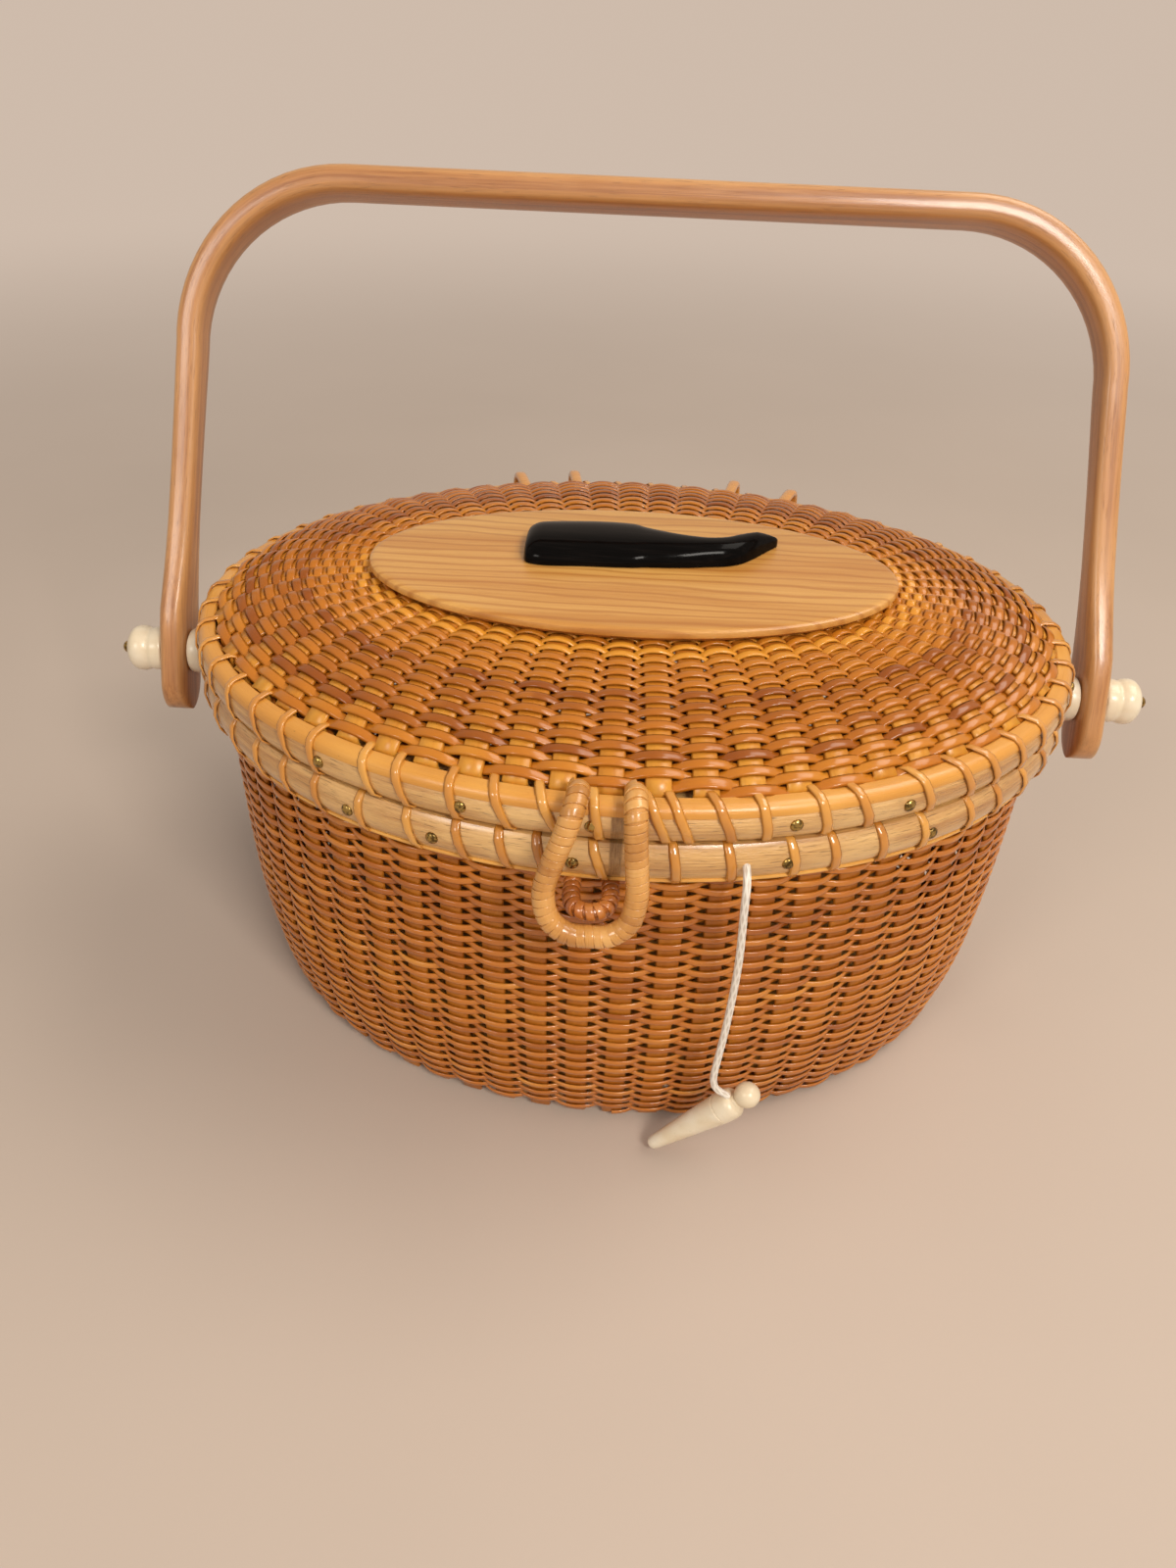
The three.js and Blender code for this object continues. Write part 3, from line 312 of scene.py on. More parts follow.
def brass_finish(wire):
    """Old brass: dull brown tarnish over a yellow metal, rubbed bright in places."""
    place = place_in_mm(wire)
    spots = noise(place, 3.0, 0.6, (0.9, 0.9, 0.9))
    tarnish = ramped(spots, 0.42, 0.62)
    colour = mixed(tarnish, (0.46, 0.31, 0.095), (0.105, 0.068, 0.024))
    return {"Base Color": colour, "Roughness": spots * 0.3 + 0.1, "height": spots, "depth": 0.04}


def braid_finish(wire):
    """White braided cord: two sets of yarns crossing, with painted grey shade in the hollows."""
    along, section, _, grain = strand_wires(wire)
    turn = section.maths("ARCTAN2", section.part(1), section.part(0))
    one = turn.maths("SINE", turn * 5.0 + along * 1.1)
    other = turn.maths("SINE", turn * 5.0 - along * 1.1)
    yarn = one.maths("MAXIMUM", one, other) * 0.5 + 0.5
    fuzz = noise(grain, 2.0, 0.6, (0.35, 0.15, 0.15))
    # Painted shade: the colour turns grey in the hollows between the yarns.
    colour = mixed(ramped(yarn + fuzz * 0.2, 0.45, 1.0), (0.60, 0.52, 0.43), (0.82, 0.76, 0.67))
    return {"Base Color": colour, "Roughness": fuzz * 0.2 + 0.6, "height": yarn, "depth": 0.08}


def pale_surface(wire):
    """A plain pale surface with the faintest mottling: its colour and roughness."""
    place = place_in_mm(wire)
    broad = noise(place, 3.0, 0.5, (240.0, 240.0, 240.0))
    fine = noise(place, 3.0, 0.6, (1.3, 1.3, 1.3))
    colour = mixed(broad, (0.47, 0.38, 0.312), (0.56, 0.455, 0.378))
    return {"Base Color": colour, "Roughness": fine * 0.2 + 0.7}


DISTANCE_COLOUR = (0.62, 0.50, 0.41)


def seen_directly(wire):
    """1 for what the camera, a reflection or clear glass sees, and 0 for light on the object."""
    camera, gloss, glass = [wire.node("ShaderNodeLightPath", None, None, out) for out in (0, 3, 6)]
    return wire.maths("MAXIMUM", wire.maths("MAXIMUM", camera, gloss), glass)


def floor_finish():
    """The floor, which melts into an even pale distance away from the object."""
    material = bpy.data.materials.new("Pale floor")
    wire = empty_tree(material)
    near = wire.node("ShaderNodeBsdfPrincipled", None, pale_surface(wire))
    far = wire.node("ShaderNodeEmission", None, {"Color": (*DISTANCE_COLOUR, 1.0)})
    place = wire.node("ShaderNodeTexCoord", None, None, 3)
    away = wire.vector_maths("LENGTH", place, out=1)
    fade = ramped(away, 0.3, 1.3) * seen_directly(wire)
    both = wire.node("ShaderNodeMixShader", None, {0: fade, 1: near, 2: far})
    both.ends_in("ShaderNodeOutputMaterial", "Surface")
    return material


WEAVER = new_finish(
    "Woven cane", cane((0.68, 0.275, 0.036), (0.49, 0.148, 0.013), (0.28, 0.066, 0.005), 0.30, 0.6),
    coat_weight=0.6, coat_roughness=0.12, specular_ior_level=0.4,
)
LID_WEAVER = new_finish(
    "Golden woven cane", cane((0.66, 0.27, 0.026), (0.46, 0.142, 0.009), (0.26, 0.062, 0.0035), 0.3, 0.5),
    coat_weight=0.5, coat_roughness=0.1, specular_ior_level=0.25,
)
STAVE = new_finish(
    "Cane staves", cane((0.76, 0.37, 0.048), (0.49, 0.168, 0.014), (0.29, 0.078, 0.006), 0.34, 0.4),
    coat_weight=0.25, coat_roughness=0.22, specular_ior_level=0.3,
)
RIM_CANE = new_finish(
    "Golden rim cane", cane((0.78, 0.40, 0.085), (0.64, 0.28, 0.045), (0.39, 0.13, 0.018), 0.30, 0.35),
    coat_weight=0.3, coat_roughness=0.2,
)
BINDING = new_finish(
    "Varnished binding cane",
    cane((0.74, 0.37, 0.075), (0.59, 0.24, 0.036), (0.38, 0.122, 0.015), 0.24, 0.5),
    coat_weight=0.7, coat_roughness=0.08,
)
LOOP_CANE = new_finish(
    "Light loop cane", cane((0.74, 0.40, 0.125), (0.60, 0.28, 0.066), (0.40, 0.155, 0.028), 0.28, 0.6),
    coat_weight=0.6, coat_roughness=0.12,
)
STAPLE_CANE = new_finish(
    "Reddish staple cane", cane((0.64, 0.255, 0.06), (0.46, 0.145, 0.026), (0.27, 0.07, 0.011), 0.24, 0.7),
    coat_weight=0.7, coat_roughness=0.1,
)
HOOP = new_finish("Hoop wood", hoop_finish, coat_weight=1.0, coat_roughness=0.2)
BOARD = new_finish("Golden board", board_finish, coat_weight=0.25, coat_roughness=0.22)
HANDLE = new_finish("Handle wood", handle_finish, coat_weight=0.45, coat_roughness=0.16)
EBONY = new_finish(
    "Black wood", ebony_finish, coat_weight=0.06, coat_roughness=0.04, specular_ior_level=0.04,
)
BONE = new_finish("Bone", bone_finish, coat_weight=0.2, coat_roughness=0.2)
BRASS = new_finish("Old brass", brass_finish, metallic=1.0)
BRAID = new_finish("White braid", braid_finish, sheen_weight=0.2)
FLOOR = floor_finish()

# Meshes.


def place_object(mesh, name):
    made = bpy.data.objects.new(name, mesh)
    scene.collection.objects.link(made)
    return made


def give_values(mesh, values):
    """Stores one number or vector for each point of a mesh."""
    for name, data in values.items():
        data = np.asarray(data, np.float32)
        kind = "FLOAT" if data.ndim == 1 else "FLOAT_VECTOR"
        attribute = mesh.attributes.new(name, kind, "POINT")
        attribute.data.foreach_set("value" if data.ndim == 1 else "vector", data.ravel())


def close_up(mesh, sharp_degrees):
    """Merges doubles, turns the faces outward and shades the mesh smooth."""
    shape = bmesh.new()
    shape.from_mesh(mesh)
    bmesh.ops.remove_doubles(shape, verts=shape.verts, dist=1e-6)
    bmesh.ops.recalc_face_normals(shape, faces=shape.faces)
    shape.to_mesh(mesh)
    shape.free()
    mesh.shade_smooth()
    if sharp_degrees:
        mesh.set_sharp_from_angle(angle=math.radians(sharp_degrees))


def loft(name, rings, values, material, closed=False, sharp_degrees=40.0):
    """A skin over rings of points in millimetres. values holds one entry for each ring point."""
    rings = np.asarray(rings, float)
    count, sides = rings.shape[:2]
    points = rings.reshape(-1, 3) * MM
    flat = {}
    for key, value in values.items():
        flat[key] = np.asarray(value, float).reshape(count * sides, -1).squeeze()
    steps = count if closed else count - 1
    faces = []
    for i in range(steps):
        here, there = i * sides, ((i + 1) % count) * sides
        for j in range(sides):
            k = (j + 1) % sides
            faces.append((here + j, here + k, there + k, there + j))
    if not closed:
        faces.append(tuple(range(sides))[::-1])
        faces.append(tuple(range((count - 1) * sides, count * sides)))
    mesh = bpy.data.meshes.new(name)
    mesh.from_pydata(points.tolist(), [], faces)
    give_values(mesh, flat)
    close_up(mesh, sharp_degrees)
    mesh.materials.append(material)
    return place_object(mesh, name)


def squared(wave, power):
    """Pushes a wave between -1 and 1 towards its ends, the more so the smaller the power."""
    return np.sign(wave) * np.abs(wave) ** power


def rounded_section(half_width, half_thickness, sides):
    """Points (through, across) of a strip's section with eased corners."""
    turn = (np.arange(sides) + 0.5) * 2 * math.pi / sides
    cosine, sine = np.cos(turn), np.sin(turn)
    through = squared(cosine, 0.5) * half_thickness
    across = squared(sine, 0.5) * half_width
    return through, across


def join(name, objects):
    """One mesh out of several."""
    bpy.ops.object.select_all(action="DESELECT")
    for piece in objects:
        piece.select_set(True)
    bpy.context.view_layer.objects.active = objects[0]
    bpy.ops.object.join()
    made = bpy.context.view_layer.objects.active
    made.name = name
    made.data.name = name
    return made


def settle(piece, body, slot, *nodes):
    """Puts a finished piece on its body, in place of its nodes."""
    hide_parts(*nodes)
    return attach(piece, body)


# Strands by Geometry Nodes.


def strand_tree(name, material):
    """Sweeps a cane section along every chain of edges, facing the way each point says."""
    tree = bpy.data.node_groups.new(name, "GeometryNodeTree")
    tree.interface.new_socket("Paths", in_out="INPUT", socket_type="NodeSocketGeometry")
    for label in ("Width", "Thickness", "Squareness", "Flat back", "Turn"):
        tree.interface.new_socket(label, in_out="INPUT", socket_type="NodeSocketFloat")
    tree.interface.new_socket("Sides", in_out="INPUT", socket_type="NodeSocketInt")
    tree.interface.new_socket("Strands", in_out="OUTPUT", socket_type="NodeSocketGeometry")
    start = tree.nodes.new("NodeGroupInput")
    wire = Wire(tree)

    def given(label):
        return Wire(tree, start.outputs[label])

    def kept(geometry, name, value, kind="FLOAT"):
        return wire.node("GeometryNodeStoreNamedAttribute", {"data_type": kind}, {
            "Geometry": geometry, "Name": name, "Value": value,
        })

    circle = wire.node("GeometryNodeCurvePrimitiveCircle", {"mode": "RADIUS"}, {
        "Resolution": given("Sides"), "Radius": 1.0,
    })
    place = wire.node("GeometryNodeInputPosition")
    turned = wire.node("ShaderNodeVectorRotate", {"rotation_type": "Z_AXIS"}, {
        "Vector": place, "Angle": given("Turn"),
    })

    def eased(part):
        size = part.maths("POWER", part.maths("ABSOLUTE", part), given("Squareness"))
        return part.maths("SIGN", part) * size

    back = 0.0 - given("Flat back")
    through = wire.maths("MAXIMUM", eased(turned.part(0)), back) * given("Thickness") * 0.5
    across = eased(turned.part(1)) * given("Width") * 0.5
    section = wire.node("ShaderNodeCombineXYZ", None, {0: through, 1: across})
    profile = wire.node("GeometryNodeSetPosition", None, {"Geometry": circle, "Position": section})
    turned_mm = wire.node("ShaderNodeCombineXYZ", None, {1: across * 1000.0, 2: through * 1000.0})
    profile = kept(profile, "section", turned_mm, "FLOAT_VECTOR")
    curve = wire.node("GeometryNodeMeshToCurve", None, {"Mesh": given("Paths")})
    facing = wire.node("GeometryNodeInputNamedAttribute", {"data_type": "FLOAT_VECTOR"}, {
        "Name": "facing",
    })
    curve = wire.node("GeometryNodeSetCurveNormal", {"mode": "FREE"}, {
        "Curve": curve, "Normal": facing,
    })
    length = wire.node("GeometryNodeSplineParameter", None, None, 1)
    curve = kept(curve, "along", length * 1000.0)
    swept = wire.node("GeometryNodeCurveToMesh", None, {
        "Curve": curve, "Profile Curve": profile, "Fill Caps": True,
    })
    swept = kept(swept, "half_width", given("Width") * 500.0)
    smooth = wire.node("GeometryNodeSetShadeSmooth", None, {"Geometry": swept})
    real = wire.node("GeometryNodeRealizeInstances", None, {"Geometry": smooth})
    done = wire.node("GeometryNodeSetMaterial", None, {"Geometry": real, "Material": material})
    done.ends_in("NodeGroupOutput", "Strands")
    return tree


def strands(name, paths, material, width, thickness, sides=6, squareness=1.0, flat_back=0.5,
            turn=math.pi / 6, closed=False):
    """Cane strands along paths of (points, facings, shades), as one plain mesh."""
    points, facings, shades, edges = [], [], [], []
    for path, facing, shade in paths:
        base = len(points)
        points += (np.asarray(path) * MM).tolist()
        facings += np.asarray(facing).tolist()
        shades += np.broadcast_to(shade, len(path)).tolist()
        last = len(path) - 1
        edges += [(base + i, base + i + 1) for i in range(last)]
        if closed:
            edges.append((base + last, base))
    mesh = bpy.data.meshes.new(name)
    mesh.from_pydata(points, edges, [])
    give_values(mesh, {"facing": facings, "shade": shades})
    carrier = place_object(mesh, name + "_paths")
    modifier = carrier.modifiers.new("strands", "NODES")
    modifier.node_group = strand_tree(name, material)
    wanted = {
        "Width": width * MM, "Thickness": thickness * MM, "Squareness": squareness,
        "Flat back": flat_back, "Turn": turn, "Sides": sides,
    }
    for item in modifier.node_group.interface.items_tree:
        if item.in_out == "INPUT" and item.name in wanted:
            modifier[item.identifier] = wanted[item.name]
    bpy.context.view_layer.update()
    shown = carrier.evaluated_get(bpy.context.evaluated_depsgraph_get())
    plain = bpy.data.meshes.new_from_object(shown)
    plain.name = name
    carrier.modifiers.clear()
    bpy.data.objects.remove(carrier)
    close_up(plain, 0.0)
    return place_object(plain, name)


# Lines, and the ovals of the rims.


def unit(vectors):
    return vectors / np.linalg.norm(vectors, axis=-1, keepdims=True)


def run_lengths(path):
    return np.concatenate([[0.0], np.cumsum(np.linalg.norm(np.diff(path, axis=0), axis=1))])


def oval_point(turn, inset, height):
    """A point on the oval that lies inset from the rims' outer face."""
    return np.stack([
        (RIM_HALF_LENGTH - inset) * np.cos(turn),
        (RIM_HALF_WIDTH - inset) * np.sin(turn),
        np.broadcast_to(height, np.shape(turn)),
    ], -1)


def oval_outward(turn, inset=0.0):
    return unit(np.stack([
        np.cos(turn) / (RIM_HALF_LENGTH - inset), np.sin(turn) / (RIM_HALF_WIDTH - inset),
        np.zeros(np.shape(turn)),
    ], -1))


def even_turns(inset):
    """Length along an oval from its front middle, and the turn at each length."""
    turn = np.linspace(-math.pi / 2, 1.5 * math.pi, 3601)
    return run_lengths(oval_point(turn, inset, 0.0)), turn


def turn_at(share, inset=WEAVE_INSET):
    """The turn at a share of the way round, which may pass 1."""
    length, turn = even_turns(inset)
    share = np.asarray(share, float)
    whole = np.floor(share)
    return np.interp((share - whole) * length[-1], length, turn) + whole * 2 * math.pi


def smooth_runs(total, rng, shortest, longest, spread):
    """Shades that stay the same for runs of random length and then change."""
    out = np.zeros(total)
    at = 0
    while at < total:
        run = int(rng.uniform(shortest, longest))
        out[at:at + run] = 0.5 + (rng.random() - 0.5) * spread
        at += run
    return out


# Cord and its knot.

KNOT_PLACE = (27.3, -76.2, 100.3)
PEG_BALL = np.array([35.6, -93.6, 28.0])
PEG_TIP = np.array([13.0, -91.4, 3.2])
PEG_NECK_PLACE = 7.2
PEG_BALL_RADIUS = 3.35
# Where the cord starts in front of the knot's middle, and ends off the peg's axis.
KNOT_TO_CORD = 2.5
PEG_TO_CORD = 3.1
CORD_ROUTE = [
    (27.3, -85.0, 100.3), (27.3, -92.3, 100.3), (27.3, -93.8, 100.0), (27.3, -95.1, 99.1),
    (27.3, -96.0, 97.8), (27.3, -96.3, 96.2), (27.4, -96.3, 92.0), (27.7, -96.0, 86.0),
    (28.0, -95.6, 79.0), (28.1, -95.2, 72.0), (28.0, -94.8, 65.0), (27.8, -94.5, 58.0),
    (27.5, -94.4, 51.5), (27.1, -94.4, 46.0), (26.7, -94.5, 41.0), (26.4, -94.6, 36.8),
    (26.5, -94.6, 33.6), (27.4, -94.4, 30.8),
]


def smooth_line(points, steps):
    """A centripetal spline through given points."""
    points = np.asarray(points, float)
    first = 2 * points[0] - points[1]
    last = 2 * points[-1] - points[-2]
    padded = np.vstack([first, points, last])
    out = []
    for i in range(len(points) - 1):
        a, b, c, d = padded[i:i + 4]
        knots = [0.0]
        for p, q in ((a, b), (b, c), (c, d)):
            knots.append(knots[-1] + max(np.linalg.norm(q - p), 1e-6) ** 0.5)
        k0, k1, k2, k3 = knots
        for t in np.linspace(k1, k2, steps, endpoint=False):
            ab = a * (k1 - t) / (k1 - k0) + b * (t - k0) / (k1 - k0)
            bc = b * (k2 - t) / (k2 - k1) + c * (t - k1) / (k2 - k1)
            cd = c * (k3 - t) / (k3 - k2) + d * (t - k2) / (k3 - k2)
            abc = ab * (k2 - t) / (k2 - k0) + bc * (t - k0) / (k2 - k0)
            bcd = bc * (k3 - t) / (k3 - k1) + cd * (t - k1) / (k3 - k1)
            out.append(abc * (k2 - t) / (k2 - k1) + bcd * (t - k1) / (k2 - k1))
    out.append(points[-1])
    return np.array(out)


def line_frames(path):
    """Tangents and two side directions that turn as little as possible."""
    ahead = unit(np.gradient(path, axis=0))
    side = np.cross(ahead[0], (1.0, 0.0, 0.0))
    if np.linalg.norm(side) < 0.1:
        side = np.cross(ahead[0], (0.0, 0.0, 1.0))
    sides = []
    for direction in ahead:
        side = unit(side - direction * (side @ direction))
        sides.append(side)
    sides = np.array(sides)
    return ahead, sides, np.cross(ahead, sides)


def tube(name, path, radius, material, sides):
    """A round tube on a path."""
    path = np.asarray(path, float)
    _, one, other = line_frames(path)
    turn = np.arange(sides) * 2 * math.pi / sides
    cosine, sine = np.cos(turn)[None, :, None], np.sin(turn)[None, :, None]
    rings = path[:, None] + (cosine * one[:, None] + sine * other[:, None]) * radius
    along = np.repeat(run_lengths(path)[:, None], sides, 1)
    section = np.zeros(rings.shape)
    section[..., 0] = np.cos(turn)[None] * radius
    section[..., 1] = np.sin(turn)[None] * radius
    return loft(name, rings, {
        "along": along, "section": section, "shade": np.full(along.shape, 0.5),
        "half_width": np.full(along.shape, radius),
    }, material, sharp_degrees=60.0)


PEG_AXIS = unit(PEG_TIP - PEG_BALL)


def add_cord():
    """The cord from its knot inside, out through the hoops and down to the peg's neck."""
    start = np.array([KNOT_PLACE[0], KNOT_PLACE[1] - KNOT_TO_CORD, KNOT_PLACE[2]])
    neck = PEG_BALL + PEG_AXIS * (PEG_NECK_PLACE - PEG_BALL_RADIUS)
    towards = np.array(CORD_ROUTE[-1]) - neck
    towards -= PEG_AXIS * (towards @ PEG_AXIS)
    end = neck + unit(towards) * PEG_TO_CORD
    path = smooth_line([start, *CORD_ROUTE, end], 7)
    return tube("peg_cord_braid", path, CORD_RADIUS, BRAID, 14), path


cord, cord_path = add_cord()


def turned(name, profile, start, axis, material, sides=40, sharp_degrees=35.0):
    """A turned piece: profile rows are (place along the axis, radius)."""
    axis = np.asarray(axis, float)
    start = np.asarray(start, float)
    side = np.cross(axis, (0.0, 0.0, 1.0))
    if np.linalg.norm(side) < 0.1:
        side = np.cross(axis, (0.0, 1.0, 0.0))
    side = unit(side)
    other = np.cross(axis, side)
    turn = np.arange(sides) * 2 * math.pi / sides
    around = np.cos(turn)[:, None] * side + np.sin(turn)[:, None] * other
    rings = [start + axis * place + around * max(radius, 0.02) for place, radius in profile]
    lengths = [place for place, _ in profile]
    along = np.repeat(np.array(lengths)[:, None], sides, 1)
    return loft(name, rings, {"along": along}, material, sharp_degrees=sharp_degrees)


def eased_profile(rows, steps):
    """Rounds a turned profile through its rows."""
    line = smooth_line([(place, radius, 0.0) for place, radius in rows], steps)
    return [(p[0], max(p[1], 0.0)) for p in line]


def add_peg():
    """A turned peg with a ball end, a neck for the cord and a ring before its taper."""
    size = PEG_BALL_RADIUS
    ball = [(size - size * math.cos(turn), size * math.sin(turn)) for turn in np.linspace(0, 2.55, 15)]
    rest = [
        (6.4, 2.2), (6.8, 2.3), (7.1, 2.9), (7.5, 3.5), (8.1, 3.85), (9.0, 4.0), (10.4, 4.05),
        (11.4, 4.05), (12.0, 4.02), (12.15, 3.78), (12.3, 3.78), (12.45, 3.98), (20.0, 3.32),
        (28.0, 2.62), (34.5, 2.0), (36.5, 1.75), (37.2, 1.3), (37.55, 0.6), (37.6, 0.0),
    ]
    start = PEG_BALL - PEG_AXIS * PEG_BALL_RADIUS
    return turned("latch_peg_bone", ball + rest, start, PEG_AXIS, BONE, 36)


def add_knot():
    """The stopper knot: two crossing bights of the cord."""
    turn = np.linspace(0, 2 * math.pi, 64)
    path = np.stack([
        1.15 * (np.sin(turn) + 0.55 * np.sin(2 * turn)),
        0.75 * np.sin(3 * turn),
        1.15 * (np.cos(turn) - 0.55 * np.cos(2 * turn)),
    ], -1) + np.array(KNOT_PLACE)
    return tube("cord_knot_turns", path, 0.62, BRAID, 10)


peg = add_peg()
knot = add_knot()
settle(cord, "basket", "cord", "peg_cord")
settle(peg, "basket", "bone", "latch_peg")
settle(knot, "basket", "cord", "cord_stop_knot")

# The basket's woven wall.

WALL_FOOT = 1.2
WALL_HEIGHT = 101.95
FOOT_INSET = 7.3
WALL_OUTER_INSET = 4.9
WALL_HALF = 1.5
WEAVER_LIFT = 1.15
WALL_PITCH = 1.87
WALL_WEAVER_SIZE = (2.08, 0.84)
WALL_STAVE_SIZE = (5.8, 1.5)
WALL_PHASE = 0.19 / WALL_STAVES
STEPS_PER_STAVE = 8


def wall_inset(height):
    share = np.clip(1 - (np.asarray(height, float) - WALL_FOOT) / WALL_HEIGHT, 0, 1)
    return WALL_OUTER_INSET + WALL_HALF + FOOT_INSET * share ** 4.5


def over_under(stave):
    """In front of even staves and behind odd ones, flat where it crosses each."""
    return squared(np.cos(math.pi * stave), 0.74)


def unevenness(count, rng, spread):
    """Smooth random offsets in millimetres for the points of a strand."""
    rough = rng.normal(0, spread, count // 3 + 2)
    return np.interp(np.arange(count), np.arange(len(rough)) * 3, rough)


def wall_weaver(low, high, rng):
    """A spiral of cane from one height to another."""
    rows = (high - low) / WALL_PITCH
    count = int(rows * WALL_STAVES * STEPS_PER_STAVE)
    stave = np.arange(count) / STEPS_PER_STAVE
    height = low + WALL_PITCH * stave / WALL_STAVES
    share = stave / WALL_STAVES
    turn = turn_at(share + WALL_PHASE)
    inset = wall_inset(height) - WEAVER_LIFT * over_under(stave)
    path = oval_point(turn, inset, 0.0)
    path[:, 2] = height + unevenness(count, rng, 0.07)
    shade = smooth_runs(count, rng, 160, 900, 0.55)
    shade += 0.28 * np.clip(1 - height / 16.0, 0, 1)
    facing = oval_outward(turn)
    levels = np.linspace(0, 103, 200)
    facing[:, 2] = np.interp(height, levels, np.gradient(wall_inset(levels), levels))
    return path, unit(facing), shade


def add_wall():
    """Two long weavers, one over the other, and the staves that they are woven on."""
    rng = np.random.default_rng(11)
    pieces = []
    for part, low, high in (("lower", 2.2, 50.9), ("upper", 50.9, 101.0)):
        path = wall_weaver(low, high, rng)
        pieces.append(strands(f"wall_weaver_{part}", [path], WEAVER, *WALL_WEAVER_SIZE))
    upright = []
    heights = np.linspace(1.4, 102.6, 15)
    for i in range(WALL_STAVES):
        turn = float(turn_at(i / WALL_STAVES + WALL_PHASE))
        path = oval_point(np.full(len(heights), turn), wall_inset(heights), 0.0)
        path[:, 2] = heights
        facing = np.repeat(oval_outward(np.array([turn])), len(heights), 0)
        upright.append((path, facing, 0.16 + 0.2 * rng.random()))
    pieces.append(strands("wall_staves", upright, STAVE, *WALL_STAVE_SIZE, 8, 0.45, 1.0, 0.0))
    for piece in pieces:
        settle(piece, "basket", "woven_cane", "basket_wall")


add_wall()

# The lid's woven dome.

LID_SHOULDER = 116.7
LID_RISE = 7.8
LID_ROWS = 25.5
LID_WEAVE_DEPTH = -0.85
LID_LIFT = 1.15
LID_FULLNESS = 3.6
LID_WEAVER_SIZE = (2.85, 0.8)
LID_FIRST_ROW_SIZE = (2.8, 0.8)
LID_STAVE_SIZE = (5.9, 1.4)
SKIRT_WEAVER_SIZE = (2.1, 1.2)
SKIRT_LIFT = 1.2
SKIRT_HEIGHTS = (108.0, 111.5, 114.6)
# The dome's half length and half width at the medallion, and what each grows by to the shoulder.
DOME_LENGTH = 66.4
DOME_LENGTH_GAIN = 46.4
DOME_WIDTH = 33.0
DOME_WIDTH_GAIN = 55.3


def dome_point(turn, share, raised):
    """The lid's dome: share 1 at its shoulder, 0 under the medallion's edge."""
    share = np.maximum(share, 0.0)
    place = np.stack([
        (DOME_LENGTH + DOME_LENGTH_GAIN * share) * np.cos(turn),
        (DOME_WIDTH + DOME_WIDTH_GAIN * share) * np.sin(turn),
        LID_SHOULDER + LID_RISE * (1 - share ** LID_FULLNESS),
    ], -1)
    return place + dome_outward(turn, share) * np.expand_dims(np.asarray(raised, float), -1)


def dome_outward(turn, share):
    share = np.maximum(share, 0.0)
    length, width = DOME_LENGTH + DOME_LENGTH_GAIN * share, DOME_WIDTH + DOME_WIDTH_GAIN * share
    around = np.stack([-length * np.sin(turn), width * np.cos(turn), np.zeros(np.shape(turn))], -1)
    outward = np.stack([
        DOME_LENGTH_GAIN * np.cos(turn), DOME_WIDTH_GAIN * np.sin(turn),
        -LID_FULLNESS * LID_RISE * share ** (LID_FULLNESS - 1) * np.ones(np.shape(turn)),
    ], -1)
    normal = unit(np.cross(outward, around))
    return normal * np.sign(normal[..., 2:3])


def dome_turn(around, share):
    """Staves stand evenly round the rim and draw towards the ends of the medallion."""
    plain = 2 * math.pi * around - math.pi / 2
    return plain + (turn_at(around, 5.2) - plain) * (2 * share - 1)


LID_PHASE = 0.675 / LID_STAVES


def lid_weaver(first, last, rng, outer, inner):
    """One spiral from turn first at share outer to turn last at share inner."""
    count = int((last - first) * LID_STAVES * STEPS_PER_STAVE)
    stave = first * LID_STAVES + np.arange(count) / STEPS_PER_STAVE
    share = np.interp(stave / LID_STAVES, [first, last], [outer, inner])
    around = stave / LID_STAVES + LID_PHASE
    turn = dome_turn(around, share)
    uneven = unevenness(count, rng, 0.06)
    raised = LID_WEAVE_DEPTH + LID_LIFT * over_under(stave) + uneven * 0.5
    path = dome_point(turn, share + uneven / 50.0, raised)
    shade = smooth_runs(count, rng, 300, 1100, 0.7)
    shade += 0.4 * np.clip(1 - share / 0.5, 0, 1) - 0.12 * share
    return path, dome_outward(turn, share), shade


def skirt_weaver(low, high, turns):
    """The rows between the lid's two hoops, seen when it is open."""
    stave = np.arange(turns * LID_STAVES * STEPS_PER_STAVE) / STEPS_PER_STAVE
    share = stave / LID_STAVES
    turn = turn_at(share + LID_PHASE)
    path = oval_point(turn, WEAVE_INSET - SKIRT_LIFT * over_under(stave), 0.0)
    path[:, 2] = low + (high - low) * share / turns
    return path, oval_outward(turn), 0.45


